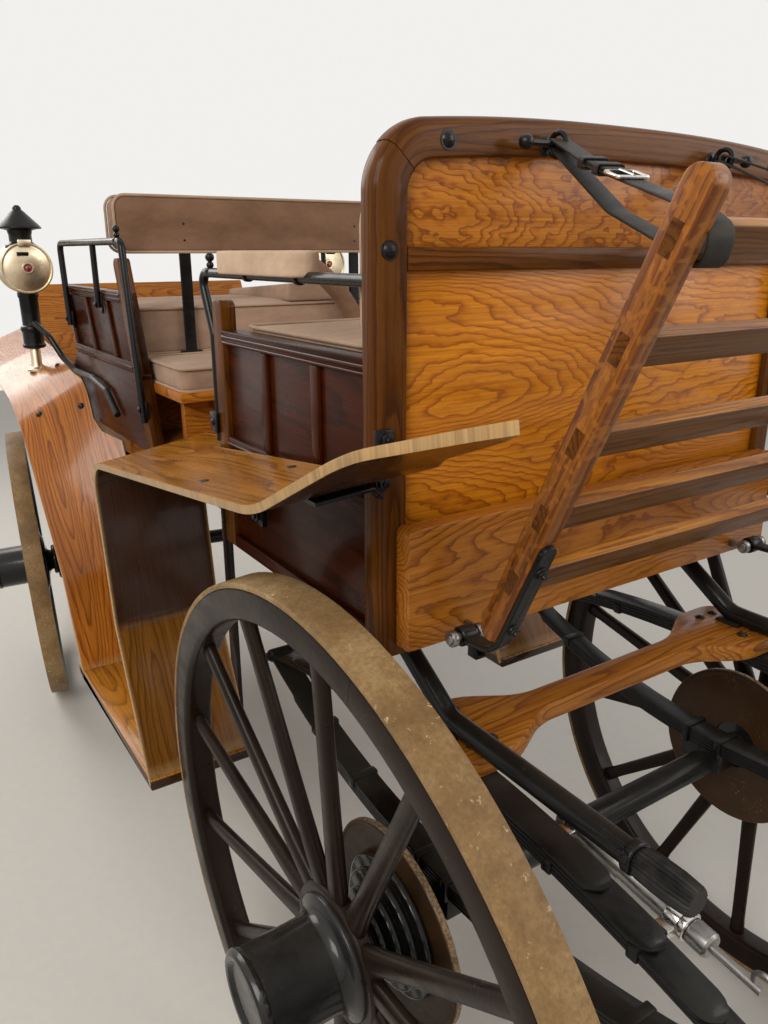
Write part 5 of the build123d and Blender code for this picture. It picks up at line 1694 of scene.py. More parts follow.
    def top(self, x: float, y: float) -> tuple[Vector, Vector]:
        """The sheet's upper face over a place in plan, and the way that it faces.

        Args:
            x: The place's X.
            y: The place's Y.

        Returns:
            The point and the normal.
        """
        share = (self.outer - y) / (self.outer - self.inner)
        line = [a.lerp(b, share) for a, b in self.lines()]
        goal = mm(x, y, 0).x
        found = [p for p in zip(line, line[1:]) if (p[0].x - goal) * (p[1].x - goal) <= 0]
        a, b = max(found, key=lambda p: p[0].z)
        point = a.lerp(b, (goal - a.x) / (b.x - a.x)) if abs(b.x - a.x) > 1e-6 else a
        row = min(self.lines(), key=lambda r: (r[0].lerp(r[1], share) - point).length)
        normal = (b - a).cross(row[1] - row[0]).normalized()
        if normal.z < 0:
            normal = -normal
        return point + normal * self.thick / 2000, normal

    def build(self, shop: Workshop) -> None:
        """Makes the guard of both sides."""
        both_sides(shop, f"{self.name}_sheet", self.form, self.finish, self.name, 45)


@dataclass
class Guards:
    """The four mudguards with their irons and bolts."""

    def build(self, shop: Workshop) -> None:
        """Makes the guards, irons and bolts."""
        rear = BentGuard(
            "rear_mudguard",
            ((700, 505, 0, 0), (850, 830, 0, 0), (905, 1195, 0, 38), (60, 1312, 0, 24), (-180, 1434, 0, -28),
             (-400, 1504, 0, -28)),
            (120, 62, 300, 700), Finishes.GUARD, 0.0, True,
        )
        fore = BentGuard(
            "front_mudguard",
            ((1285, 500, 0, 0), (1400, 760, -10, 20), (1740, 1130, -120, 155), (1860, 1190, -100, 150),
             (2150, 1240, 0, 125), (2600, 1270, 0, 100)),
            (300, 150, 300, 800), Finishes.FORE_GUARD, 1124.0, False,
        )
        rear.build(shop)
        fore.build(shop)
        form = Form()
        for x, y in ((330, 590), (250, 475)):
            form.take(lathe([(0, 1.6), (7, 1.4), (9, 0.4), (9, -1), (0, -1)], facing(*rear.top(x, y)), 0.3, 24))
        for x, y in ((1850, 480), (2200, 480), (1720, 575), (1640, 470)):
            form.take(domed_bolt(*fore.top(x, y), 8.0))
        for x, z in ((450, 1170), (1850, 1190), (2200, 1180)):
            form.take(hex_nut(mm(x, 447, z), Y, 21, 8))
        form.take(hex_nut(mm(20, 449, 1393), -X, 17, 8))
        form.take(hex_nut(mm(28, 449, 1331), -X, 17, 8))
        form.take(board((20, 28), (435, 464), (1345, 1406), 3.0))
        line = [point - normal * 0.015 for point, normal in (rear.top(40, y) for y in (470, 510, 560))]
        line.insert(0, mm(40, 455, line[0].z * 1000 - 14))
        form.take(swept(rounded_section(40, 6, 1.5), line, X))
        shop.piece("guard_bolts", form.mirrored(), Finishes.IRON)
        irons = shop.eased("guard_irons", 1.5)
        post = [v for v in irons.mesh.verts if mm(20, 0, 0).x < v.co.x < mm(90, 0, 0).x]
        bmesh.ops.delete(irons.mesh, geom=post, context="VERTS")
        shop.piece("guard_brackets", irons, Finishes.IRON, ["guard_irons"])


@dataclass
class SeatIrons:
    """Arm rails with their finials, and the stays of the driver's back cushion."""

    radius: float = 9.0

    def finial(self, x: float, y: float, z: float) -> BMesh:
        """Two balls on a rail."""
        profile = [(0, 37)]
        for centre, radius in ((28.0, 8.5), (14.0, 7.0)):
            for i in range(9):
                turn = radians(80 - 20 * i)
                profile.append((radius * cos(turn), centre + radius * sin(turn)))
        profile += [(8, 8), (11, 5), (11, -2), (0, -2)]
        return lathe(profile, Matrix.Translation(mm(x, y, z)), steps=20)

    def rear(self, shop: Workshop) -> None:
        """The rear rails, bent down before the posts."""
        y = 430.0
        corners = [mm(72, y, 1594), mm(702, y, 1594), mm(649.3, y, 1480), mm(649.3, y, 1272)]
        form = Form(tube(rounded_path(corners, [22, 22], 8), self.radius, 18))
        form.take(self.finial(650, y, 1594))
        form.take(lathe([(0, 14), (15, 10), (15, 0), (0, 0)], facing(mm(71, y, 1594), X), 2))
        for x in (290, 480):
            form.take(board((x - 14, x + 14), (y - 16, y + 16), (1599, 1604.5), 1.5))
            form.take(lathe([(0, 6), (12, 6), (12, -6), (0, -6)], facing(mm(x, y, 1594), X), 1.5))
        form.take(board((633, 666), (437, 445), (1290, 1330), 2.0))
        form.take(domed_bolt(mm(650, 445, 1310), Y, 7))
        shop.piece("rear_rails", form.mirrored(), Finishes.IRON, ["rear_arm_rails"])

    def front(self, shop: Workshop) -> None:
        """The front rails with their middle leg."""
        y = 446.2
        corners = [mm(1108, y, 1230), mm(1160, y, 1656), mm(1790, y, 1656), mm(1768, y, 1420)]
        form = Form(tube(rounded_path(corners, [22, 22], 8), self.radius, 18))
        form.take(tube([mm(1420, y, 1490), mm(1420, y, 1656)], self.radius - 1, 16))
        form.take(self.finial(1190, y, 1656))
        for x, z in ((1420, 1497), (1770, 1440), (1112, 1262)):
            form.take(board((x - 15, x + 15), (436, 442), (z - 22, z + 22), 2.0))
            form.take(domed_bolt(mm(x, 455, z), Y, 7))
        shop.piece("front_rails", form.mirrored(), Finishes.IRON, ["front_arm_rails"])

    def build(self, shop: Workshop) -> None:
        """Makes the irons."""
        self.rear(shop)
        self.front(shop)
        form = shop.eased("back_stays", 2.0)
        for y in (-255, 255):
            for z in (1660, 1700):
                form.take(domed_bolt(mm(1258, y, z), -X, 6))
        shop.piece("back_irons", form, Finishes.IRON, ["back_stays"])


@dataclass
class SideLamps:
    """Round lamps with a bullseye, a hooded chimney and a socket on the front guards."""

    x: float = 1945.0
    y: float = 525.0
    z: float = 1585.0
    guard_top: float = 1272.0
    stay: tuple[tuple[float, float, float], ...] = (
        (1905, 525, 1420), (1830, 500, 1385), (1800, 474, 1322), (1730, 455, 1286), (1560, 450, 1288),
        (1420, 450, 1270), (1330, 450, 1215),
    )

    def build(self, shop: Workshop) -> None:
        """Makes both lamps."""
        rear = facing(mm(self.x, self.y, self.z), -X)
        drum = [
            (0, 59), (20, 58), (36, 56), (50, 53), (62, 49), (68, 46), (69, 49), (73, 50), (76, 47), (76, 40),
            (73, 35), (73, -27), (75, -29), (76, -33), (75, -37), (70, -45), (60, -50), (58, -53), (0, -53),
        ]
        form = Form(lathe(drum, rear, 0.6, 64))
        form.take(lathe([(11, 55), (16, 55), (18, 59), (16, 63), (12, 63), (10, 59)], rear, 0.8, 40, hoop=True))
        form.take(board((1888, 1900), (506, 544), (1650, 1668), 2.0))
        upright = Matrix.Translation(mm(self.x, self.y, 0))
        foot = self.guard_top
        post = [
            (0, 1345), (16, 1345), (16, foot + 20), (18, foot + 14), (19, foot + 10), (27, foot + 6),
            (30, foot + 3), (30, foot - 4), (0, foot - 4),
        ]
        form.take(lathe(post, upright, 0.5, 32))
        shop.piece("lamp_bodies", form.mirrored(), Finishes.LAMP, ["side_lamps"], 28)
        hood = [
            (0, 1768), (7, 1767), (12, 1761), (13, 1755), (22, 1747), (40, 1729), (58, 1711), (64, 1704), (64, 1700),
            (52, 1699), (36, 1695), (35, 1688), (33, 1682), (33, 1662), (38, 1657), (46, 1652), (46, 1640), (0, 1640),
        ]
        form = Form(lathe(hood, upright, 0.5, 48))
        socket = [
            (0, 1518), (26, 1518), (31, 1511), (31, 1500), (28, 1494), (27, 1412), (33, 1408), (35, 1402),
            (34, 1396), (31, 1391), (31, 1356), (35, 1351), (34, 1344), (26, 1340), (0, 1340),
        ]
        form.take(lathe(socket, upright, 0.5, 32))
        form.take(board((1884, 1889), (518, 552), (1622, 1632), 1.0))
        stay = [mm(*point) for point in self.stay]
        form.take(tube(rounded_path(stay, [34] * (len(stay) - 2), 5), 9.0, 14))
        for turn in range(0, 360, 60):
            spin = Matrix.Rotation(radians(turn), 4, "Z")
            hole = facing(upright @ spin @ Vector((0.0295, 0, 1.673)), (upright @ spin).to_3x3() @ X)
            form.take(lathe([(2.5, 1.5), (5, 1.5), (5, -1), (2.5, -1)], hole, 0.3, 14, hoop=True))
        shop.piece("lamp_blacks", form.mirrored(), Finishes.IRON, (), 28)
        glass = [(0, 67), (5, 66), (9, 63.5), (10.5, 61), (11, 56), (0, 56)]
        form = Form(lathe(glass, rear, 0.3, 40))
        shop.piece("lamp_bullseyes", form.mirrored(), Finishes.LENS, (), 40)
        front = facing(mm(self.x, self.y, self.z), X)
        form = Form(lathe([(0, 62), (20, 61), (40, 58), (56, 53), (56, 50), (0, 50)], front, 0.4, 48))
        shop.piece("lamp_glasses", form.mirrored(), Finishes.CLEAR, (), 40)


class End(Enum):
    """The two axles: name, wheel radius, spokes, X and whether they steer."""

    REAR = ("rear", 600.0, 14, 0.0, False)
    FRONT = ("front", 500.0, 12, WHEELBASE, True)


@dataclass
class RoadWheel:
    """A dished wooden wheel: felloes, tapered spokes, nave, iron hub, drum and tyre."""

    end: End
    left: bool
    tyre: float = 10.0
    felloe: float = 52.0
    tread: float = 58.0
    dish: float = 14.0
    phase: float = 10.5

    def place(self) -> Matrix:
        """The wheel's own frame, whose Z axis points outwards along the axle arm."""
        _, radius, _, x, steers = self.end.value
        side = 1 if self.left else -1
        height = radius * cos(radians(CAMBER))
        made = Matrix.Translation(mm(x, side * HUB_MID_Y, height))
        made = made @ Matrix.Rotation(radians(-side * (90 + CAMBER)), 4, "X")
        return turned() @ made if steers else made

    def band(self, outer: float, inner: float) -> Outline:
        """The section of a coned hoop: radius and height of its corners."""
        half = self.tread / 2
        cone = half * tan(radians(CAMBER))
        return [(inner + cone, -half), (outer + cone, -half), (outer - cone, half), (inner - cone, half)]

    def felloes(self) -> BMesh:
        """The rim in segments, each with its own grain."""
        _, radius, count, _, _ = self.end.value
        outer = radius - self.tyre
        whole = fresh()
        share = 720.0 / count
        for index in range(count // 2):
            part = fresh()
            corners = [Vector((r, z)) / 1000 for r, z in self.band(outer, outer - self.felloe)]
            part.faces.new([part.verts.new((c.x, 0, c.y)) for c in corners])
            inner = [v for v in part.verts if v.co.x < (outer - self.felloe / 2) / 1000]
            bmesh.ops.bevel(
                part, geom=inner, offset=0.012, segments=4, profile=0.5, affect="VERTICES", material=-1
            )
            others = [v for v in part.verts if v.co.x > (outer - 3) / 1000]
            bmesh.ops.bevel(
                part, geom=others, offset=0.002, segments=2, profile=0.5, affect="VERTICES", material=-1
            )
            face = part.faces[:][0]
            span = radians(share - 0.06)
            geom = [face, *face.edges, *face.verts]
            bmesh.ops.spin(
                part, geom=geom, cent=(0, 0, 0), axis=(0, 0, 1), angle=span, steps=14, use_merge=False,
                use_duplicate=False, dvec=(0, 0, 0),
            )
            bmesh.ops.recalc_face_normals(part, faces=part.faces[:])
            layer = part.verts.layers.float_vector["grain"]
            for vert in part.verts:
                turn = atan2(vert.co.y, vert.co.x)
                vert[layer] = Vector((turn * outer / 1000 + index * 2.1, vert.co.z, vert.co.xy.length))
            start = radians(self.phase + share * (index - 0.25) + 0.03)
            bmesh.ops.transform(part, matrix=Matrix.Rotation(start, 4, "Z"), verts=part.verts[:])
            join(whole, part)
        return whole

    def spokes(self) -> BMesh:
        """Oval spokes, square at the nave, that lean out with the dish."""
        _, radius, count, _, _ = self.end.value
        rim = radius - self.tyre - self.felloe
        stations = [
            (98.0, 1.42, 0.98), (116.0, 1.42, 0.98), (140.0, 1.34, 1.02), (175.0, 1.2, 1.06),
            (rim * 0.5, 1.08, 1.02), (rim * 0.75, 1.0, 0.96), (rim - 40, 0.98, 0.94), (rim - 12, 1.08, 0.98),
            (rim + 12, 1.12, 1.0),
        ]
        whole = fresh()
        for index in range(count):
            path = [
                Vector((r, 0.0, -self.dish * (1 - (r - 106) / (rim - 90)))) / 1000 for r, _, _ in stations
            ]
            widths = [(w, t) for _, w, t in stations]
            outline = [
                (15.5 * copysign(abs(cos(t)) ** 0.8, cos(t)),
                 11.5 * copysign(abs(sin(t)) ** 0.8, sin(t)))
                for t in (2 * pi * i / 20 for i in range(20))
            ]
            part = swept(outline, path, Y, widths=widths, seed=index * 0.6)
            turn = radians(self.phase + 360 / count * index)
            bmesh.ops.transform(part, matrix=Matrix.Rotation(turn, 4, "Z"), verts=part.verts[:])
            join(whole, part)
        return whole

    def hub(self) -> BMesh:
        """The iron hub: barrel, flanges, neck and the stepped cone before the drum."""
        here = Matrix.Identity(4)
        outside = [
            (0, 141), (58, 141), (62, 147), (70, 148), (75, 145), (77, 139), (76, 134), (74, 131), (74, 30),
            (76, 20), (80, 14), (86, 10), (94, 8), (98, 5), (99, 0), (99, -1), (0, -1),
        ]
        inside = [(0, -26), (98, -26), (98, -32), (90, -35), (60, -37), (44, -42), (38, -50), (36, -60), (0, -60)]
        whole = lathe(outside, here, 0.8, 56)
        join(whole, lathe(inside, here, 0.8, 56))
        cone = [(0, -54)]
        for step, radius in enumerate((56, 76, 97, 116)):
            top = -55 - 14 * step
            cone += [(radius - 7, top), (radius - 2, top - 2), (radius, top - 7)]
            cone += [(radius, top - 11), (radius - 3, top - 13)]
        join(whole, lathe([*cone, (104, -112), (0, -112)], here, 1.0, 64))
        return whole

    def drum(self) -> Form:
        """The brown drum with its bare rim."""
        profile = [
            (50, -111), (160, -111), (162, -109), (166, -109), (168, -112), (168, -120), (166, -122), (158, -120),
            (154, -117), (50, -117),
        ]
        form = Form(lathe(profile, Matrix.Identity(4), 0.8, 72, hoop=True))
        rim = {v.index: 1.0 for v in form.mesh.verts if v.co.xy.length > 0.1668}
        return form.wear(rim)

    def build(self, shop: Workshop) -> None:
        """Makes the wheel's pieces."""
        name, radius, _, _, _ = self.end.value
        side = "left" if self.left else "right"
        body = f"{name}_{side}_wheel"
        place = self.place()
        wood = Form(self.felloes(), self.spokes())
        nave = [(40, 0), (110, 0), (114, -4), (114, -23), (110, -27), (40, -27)]
        wood.take(lathe(nave, Matrix.Identity(4), 0.8, 56, hoop=True))
        wood.moved(place)
        shop.piece(f"{name}_wheel_timber_{side}", wood, Finishes.WHEEL, [f"{name}_wheel_{side}"], 38, body)
        hoop = self.band(radius, radius - self.tyre + 0.4)
        tyre = Form(lathe(hoop, Matrix.Identity(4), 2.2, 120, hoop=True))
        shop.piece(f"{name}_tread_{side}", tyre.moved(place), Finishes.TYRE, [f"{name}_tyre_{side}"], 38, body)
        hub = Form(self.hub()).moved(place)
        shop.piece(f"{name}_hub_irons_{side}", hub, Finishes.HUB, [f"{name}_hub_{side}"], 28, body)
        shop.piece(f"{name}_drum_{side}", self.drum().moved(place), Finishes.DRUM, (), 28, body)


@dataclass
class LeafSprings:
    """A pair of full elliptic springs with clips, bolts and rolled eyes."""

    name: str
    x: float
    low: float
    high: float
    steers: bool
    y: float = 350.0
    half: float = 590.0
    thick: float = 7.0
    width: float = 50.0
    leaves: int = 4
    step: float = 87.0
    upper: float = 74.0

    def leaf(self, rise: int, sagitta: float, eye: float, index: int) -> BMesh:
        """One leaf.

        Args:
            rise: 1 for the upper half, -1 for the lower one.
            sagitta: The rise of the long leaf.
            eye: The height of the eyes.
            index: 0 for the long leaf.

        Returns:
            The mesh.
        """
        bow = (self.half**2 + sagitta**2) / (2 * sagitta)
        half = self.half - self.step * index
        reach = bow + self.thick * index
        base = eye + rise * (sagitta - bow)
        marks = [0.0, 3.0, 8.0, 16.0, 26.0] if index else [0.0]
        runs = [-half + m for m in marks]
        runs += [-half + marks[-1] + (2 * half - 2 * marks[-1]) * i / 22 for i in range(1, 22)]
        runs += [half - m for m in reversed(marks)]
        line = [mm(self.x + dx, self.y, base + rise * sqrt(reach**2 - dx**2)) for dx in runs]
        widths = []
        for dx in runs:
            left = half - abs(dx)
            short = index and left < 26
            widths.append((sqrt(max(0.06, 1 - ((26 - left) / 26) ** 2)) if short else 1.0, 1.0))
        section = rounded_section(self.width, self.thick - 0.4, 1.6, 2)
        return swept(section, line, Y, widths=widths)

    def build(self, shop: Workshop) -> None:
        """Makes the pair."""
        stack = self.thick * (self.leaves - 0.5)
        eye = self.high - stack - self.upper
        lower = eye - self.low - stack
        form = Form()
        for rise, sagitta in ((1, self.upper), (-1, lower)):
            for index in range(self.leaves):
                form.take(self.leaf(rise, sagitta, eye, index))
            crown = eye + rise * (sagitta + stack / 2 - self.thick / 4)
            for dx in (-38, 38):
                form.take(board((self.x + dx - 7, self.x + dx + 7), (self.y - 31, self.y + 31),
                                (crown - 19, crown + 19), 3.0))
            bow = (self.half**2 + sagitta**2) / (2 * sagitta)
            for dx in (-395, -250, 250, 395):
                z = eye + rise * (sagitta - bow + sqrt(bow**2 - dx**2) + self.thick * 0.6)
                form.take(board((self.x + dx - 9, self.x + dx + 9), (self.y - 28, self.y + 28), (z - 11, z + 11), 3))
        for end in (-1, 1):
            centre = mm(self.x + end * self.half, self.y - 25, eye)
            form.take(lathe([(0, 50), (13, 50), (14, 48), (14, 2), (13, 0), (0, 0)], facing(centre, Y), 0.5, 28))
            form.take(hex_nut(centre + Vector((0, 0.05, 0)), Y, 17, 7))
            form.take(hex_nut(centre, -Y, 17, 7))
        form.mirrored()
        body = Body.FORE if self.steers else Body.CARRIAGE
        if self.steers:
            form.moved(turned())
        shop.piece(f"{self.name}_leaves", form, Finishes.IRON, [self.name], body=body.value)


@dataclass
class Undercarriage:
    """Axles, the hind bar, body loops with step pads, dampers, steps and the turntable."""

    def hind_bar(self, shop: Workshop) -> None:
        """The flared bar across the rear springs."""
        half = [(26, 190), (82.5, 285), (82.5, 400)]
        ring = [*half, *[(-x, y) for x, y in reversed(half)]]
        ring = [*ring, *[(-x, -y) for x, y in ring]]
        corners = [mm(-15 + x, y, 897) for x, y in [(26, 0), *ring, (26, 0)]]
        radii = [120, 120, 45, 45, 120, 120] * 2
        outline = rounded_path(corners, radii, 8)[:-1]
        form = Form(plate(outline, Vector((0, 0, 0.034)), 6.0, Y, 2.4))
        shop.piece("hind_bar_timber", form, Finishes.BAR, ["hind_spring_bar"], 40)
        form = Form()
        for x, y in ((-62, 350), (32, 350), (-62, 312), (32, 312)):
            form.take(domed_bolt(mm(x, y, 931), Z, 8))
        shop.piece("hind_bar_bolts", form.mirrored(), Finishes.IRON)

    def loops(self, shop: Workshop) -> None:
        """The body loops with their rubber step pads."""
        corners = [mm(235, 350, 1046), mm(145, 350, 1046), mm(-8, 350, 948), mm(-375, 350, 948)]
        form = Form(tube(rounded_path(corners, [60, 60], 9), 17.0, 24))
        form.take(lathe([(17, 14), (22, 11), (22, 0), (17, -3)],
                        facing(mm(-360, 350, 948), -X), 1, 28, hoop=True))
        form.take(board((-40, 10), (328, 372), (925, 936), 3.0))
        for x in (160, 215):
            form.take(board((x - 12, x + 12), (325, 375), (1026, 1064), 4.0))
        shop.piece("body_loop_irons", form.mirrored(), Finishes.IRON, ["body_loops"])
        ribs = [
            ((21.5 if i % 2 else 19.2) * cos(2 * pi * i / 44),
             (21.5 if i % 2 else 19.2) * sin(2 * pi * i / 44))
            for i in range(44)
        ]
        line = [mm(x, 350, 948) for x in (-375, -378, -400, -425, -449, -453)]
        widths = [(0.85, 0.85), (0.95, 0.95), (1, 1), (1, 1), (0.9, 0.9), (0.8, 0.8)]
        form = Form(swept(ribs, line, widths=widths))
        shop.piece("step_rubbers", form.mirrored(), Finishes.RUBBER, ["step_pads"], 20)

    def dampers(self, shop: Workshop) -> None:
        """The tube dampers beside the rear springs."""
        rear, front, tip = mm(-440, 285, 838), mm(-190, 285, 866), mm(-505, 285, 831)
        run = (front - rear).normalized()
        place = facing(rear, run)
        length = (front - rear).length * 1000
        profile = [
            (0, length), (14, length), (17, length - 4), (17, length * 0.55), (15.5, length * 0.54),
            (15.5, 30), (17, 28), (17, 4), (14, 0), (0, 0),
        ]
        form = Form(lathe(profile, place, 0.5, 36))
        form.take(tube([rear, tip], 6.0, 16))
        hook = [tip + Vector((0.012 * cos(t), 0, 0.012 * sin(t) + 0.012))
                for t in (radians(-90 + 15 * i) for i in range(20))]
        form.take(tube(hook, 3.2, 10))
        shop.piece("damper_tubes", form.mirrored(), Finishes.STEEL, ["spring_dampers"])
        form = Form(lathe([(16, 12), (20, 10), (20, 2), (16, 0)], facing(rear + run * 0.03, run), 1, 36, hoop=True))
        for x, z in ((-400, 838), (-230, 864)):
            form.take(board((x, x + 24), (285, 325), (z - 6, z + 6), 2.0))
            ring = facing(mm(x + 12, 285, z + 3), run)
            form.take(lathe([(16, 10), (19.5, 10), (19.5, -10), (16, -10)], ring, 0.8, 36, hoop=True))
        shop.piece("damper_clips", form.mirrored(), Finishes.NICKEL)

    def plain(self, shop: Workshop) -> None:
        """The pieces that keep their solids' shapes with eased edges."""
        rows = (
            ("rear_axle", "rear_axle_iron", Body.CARRIAGE, Finishes.IRON, 1.2, None),
            ("front_axle", "front_axle_iron", Body.FORE, Finishes.IRON, 1.2, None),
            ("fore_bar", "fore_bar_timber", Body.FORE, Finishes.BAR, 3.0, Y),
            ("futchells", "futchell_timbers", Body.FORE, Finishes.BAR, 3.0, X),
            ("lower_turntable", "lower_ring", Body.FORE, Finishes.IRON, 1.0, None),
            ("upper_turntable", "upper_ring_and_bed", Body.CARRIAGE, Finishes.IRON, 1.0, None),
            ("step_boards", "step_planks", Body.CARRIAGE, Finishes.GUARD, 3.0, X),
            ("step_hangers", "step_irons", Body.CARRIAGE, Finishes.IRON, 1.5, None),
        )
        for node, name, body, finish, edge, along in rows:
            shop.piece(name, shop.eased(node, edge, along), finish, [node], body=body.value)

    def build(self, shop: Workshop) -> None:
        """Makes the undercarriage."""
        self.hind_bar(shop)
        self.loops(shop)
        self.dampers(shop)
        self.plain(shop)
        LeafSprings("rear_springs", 0.0, 644.09, 897.0, False).build(shop)
        LeafSprings("front_springs", WHEELBASE, 544.17, 773.0, True).build(shop)


@dataclass
class LuggageRack:
    """The folding rack: arms, slats, bolts, straps and buckles."""

    foot: tuple[float, float] = (-100.0, 1140.0)
    tip: tuple[float, float] = (-358.0, 1690.0)
    arm_y: float = 346.0
    thick: float = 28.0
    depth: float = 37.0
    slats: tuple[float, ...] = (1222.0, 1322.0, 1424.0, 1534.0, 1643.0)
    pivot: tuple[float, float] = (-34.0, 1100.0)

    def run(self) -> tuple[Vector, Vector]:
        """The directions along the arms and rearwards across them."""
        along = Vector((self.tip[0] - self.foot[0], 0, self.tip[1] - self.foot[1])).normalized()
        return along, Vector((-along.z, 0, along.x))

    def arms(self, shop: Workshop) -> None:
        """The two arms with round ends."""
        along, across = self.run()
        start = mm(self.foot[0], self.arm_y - self.thick / 2, self.foot[1])
        end = mm(self.tip[0], self.arm_y - self.thick / 2, self.tip[1])
        half = self.depth / 2000
        outline = []
        for centre, base in ((end, 0.0), (start, pi)):
            for i in range(17):
                turn = base + pi * (0.5 - i / 16)
                outline.append(centre + (along * cos(turn) + across * sin(turn)) * half)
        form = Form(plate(outline, Vector((0, self.thick / 1000, 0)), 2.6, along, 1.8))
        shop.piece("rack_arms", form.mirrored(), Finishes.RACK, ["luggage_rack"], body=Body.RACK.value)

    def bars(self, shop: Workshop) -> None:
        """The slats across the arms."""
        along, _ = self.run()
        reach = self.arm_y - self.thick / 2
        form = Form()
        for index, z in enumerate(self.slats):
            centre = mm(self.foot[0], 0, self.foot[1]) + along * (z - self.foot[1]) / along.z / 1000
            path = [centre + Vector((0, -reach + 2 * reach * i / 8, 0)) / 1000 for i in range(9)]
            form.take(swept(rounded_section(38, 21, 3.0), path, along, seed=index * 1.3 + 0.4))
        shop.piece("rack_slats", form, Finishes.SLAT, body=Body.RACK.value)
        form = Form()
        for z in self.slats:
            centre = mm(self.foot[0], self.arm_y + self.thick / 2, self.foot[1])
            centre += along * (z - self.foot[1]) / along.z / 1000
            path = [centre - Vector((0, 0.004, 0)), centre + Vector((0, 0.0005, 0))]
            form.take(swept(rounded_section(36, 15, 0.8, 1), path, along, seed=z / 90))
        shop.piece("rack_tenons", form.mirrored(), Finishes.FRAME, body=Body.RACK.value)

    def hinges(self, shop: Workshop) -> None:
        """The irons from the pivots up the rear faces of the arms."""
        along, across = self.run()
        foot = mm(self.foot[0], self.arm_y, self.foot[1])
        over = across * (self.depth / 2 + 4) / 1000
        pivot = mm(self.pivot[0], self.arm_y, self.pivot[1])
        path = rounded_path([pivot, foot - along * 0.03 + over, foot + along * 0.158 + over], [48.0], 10)
        form = Form(swept(rounded_section(26, 8, 2.0), path, Y))
        form.take(lathe([(0, 4), (12, 4), (13, 3), (13, -4), (0, -4)], facing(path[-1], across), 0.5, 28))
        barrel = [(8.6, 13), (13, 13), (15, 11), (15, -11), (13, -13), (8.6, -13)]
        form.take(lathe(barrel, facing(pivot, Y), 0.5, 32, hoop=True))
        for reach in (0.02, 0.128):
            form.take(hex_nut(foot + along * reach + over + across * 0.004, across, 14, 6))
        shop.piece("rack_hinge_irons", form.mirrored(), Finishes.IRON, ["rack_hinges"], body=Body.RACK.value)
        form = Form(lathe([(0, 32), (7.6, 32), (7.6, -32), (0, -32)], facing(pivot, Y), 1, 24))
        for y in (-24, 24):
            eye = facing(pivot + Vector((0, y, 0)) / 1000, Y)
            form.take(lathe([(7.7, 5), (11, 5), (12, 4), (12, -4), (11, -5), (7.7, -5)], eye, 0.6, 28, hoop=True))
        form.take(board((-25, -3), (self.arm_y - 28, self.arm_y - 20), (1093, 1107), 2.5))
        shop.piece("rack_lugs", form.mirrored(), Finishes.STEEL, ["rack_brackets"])

    def tie(self, obj: Object, eye: Vector, slat: Vector) -> None:
        """Lets a piece of both straps bend between the frame's eyes and the top slat."""
        ends = [Vector((point.x, 0, point.z)) for point in (eye, slat)]
        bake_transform(obj, Body.CARRIAGE.value, Body.RACK.value, *ends)

    def strap(self, shop: Workshop) -> None:
        """The leather straps from the frame's eyes around the top slat, with their buckles."""
        along, across = self.run()
        slat = mm(self.foot[0], 312, self.foot[1]) + along * (self.slats[-1] - self.foot[1]) / along.z / 1000
        eye = mm(*STRAP_EYE)
        flat = Vector((slat.x - eye.x, slat.y - eye.y, 0)).normalized()
        side = flat.cross(Z)

        def near(length: float, over: float) -> Vector:
            """A point beside the slat, along the arm and across it."""
            return slat + (along * length + across * over) / 1000

        upper = [eye + Vector((0, 0, 0.0065)), eye.lerp(slat, 0.35) + Vector((0, 0, 0.004))]
        wrap = [near(22, -16), near(24, 30), near(-20, 34), near(-22, -14)]
        lower = [eye.lerp(slat, 0.5) + Vector((0, 0, -0.03)), eye + Vector((0, 0, -0.002)) - flat * 0.004]
        corners = [*upper, *wrap, *lower]
        for index, point in enumerate(corners):
            offset = (point - eye).dot(side)
            corners[index] = point - side * offset
        start = (corners[0] + corners[1]) / 2
        line = rounded_path([start, *corners[1:], corners[0], start], [60, 9, 18, 18, 9, 90, 4, 4], 6)
        fine = [line[0]]
        for a, b in zip(line, line[1:]):
            parts = ceil((b - a).length / 0.02)
            fine += [a.lerp(b, i / parts) for i in range(1, parts + 1)]
        form = Form(swept(rounded_section(28, 3.6, 1.5, 2), fine, side, closed=True))
        self.tie(shop.piece("strap_leathers", form.mirrored(), Finishes.STRAP, ["rack_straps"], 40, ""), eye, slat)
        run = (corners[2] - corners[1]).normalized()
        lift = side.cross(run) if side.cross(run).z > 0 else run.cross(side)
        centre = corners[1].lerp(corners[2], 0.3) + lift * 0.004
        fold = [corners[1].lerp(corners[2], share) + lift * 0.0042 for share in (-0.12, 0.0, 0.12, 0.25)]
        form = Form(swept(rounded_section(27, 4, 1.5, 2), fold, side))
        for share in (-0.08, 0.1):
            spot = corners[1].lerp(corners[2], share)
            hoop = [spot + side * u / 1000 + lift * v / 1000
                    for u, v in ((0, 8), (17, 8), (17, -4), (-17, -4), (-17, 8), (0, 8))]
            form.take(swept(rounded_section(15, 2.4, 1, 2), rounded_path(hoop, [3] * 4, 4), run, closed=True))
        self.tie(shop.piece("strap_keepers", form.mirrored(), Finishes.STRAP, (), 40, ""), eye, slat)
        corners = ((0, 19), (18, 19), (18, -19), (-18, -19), (-18, 19), (0, 19))
        loop = [centre + run * u / 1000 + side * v / 1000 for u, v in corners]
        form = Form(tube(rounded_path(loop, [4] * 4, 5), 2.4, 10, closed=True))
        form.take(tube([centre - run * 0.018 + side * 0.016, centre - run * 0.018 - side * 0.016], 2.2, 10))
        form.take(tube([centre - run * 0.018 + lift * 0.002, centre + run * 0.019 + lift * 0.002], 1.8, 10))
        self.tie(shop.piece("strap_buckles", form.mirrored(), Finishes.NICKEL, body=""), eye, slat)

    def build(self, shop: Workshop) -> None:
        """Makes the rack."""
        self.arms(shop)
        self.bars(shop)
        self.hinges(shop)
        self.strap(shop)


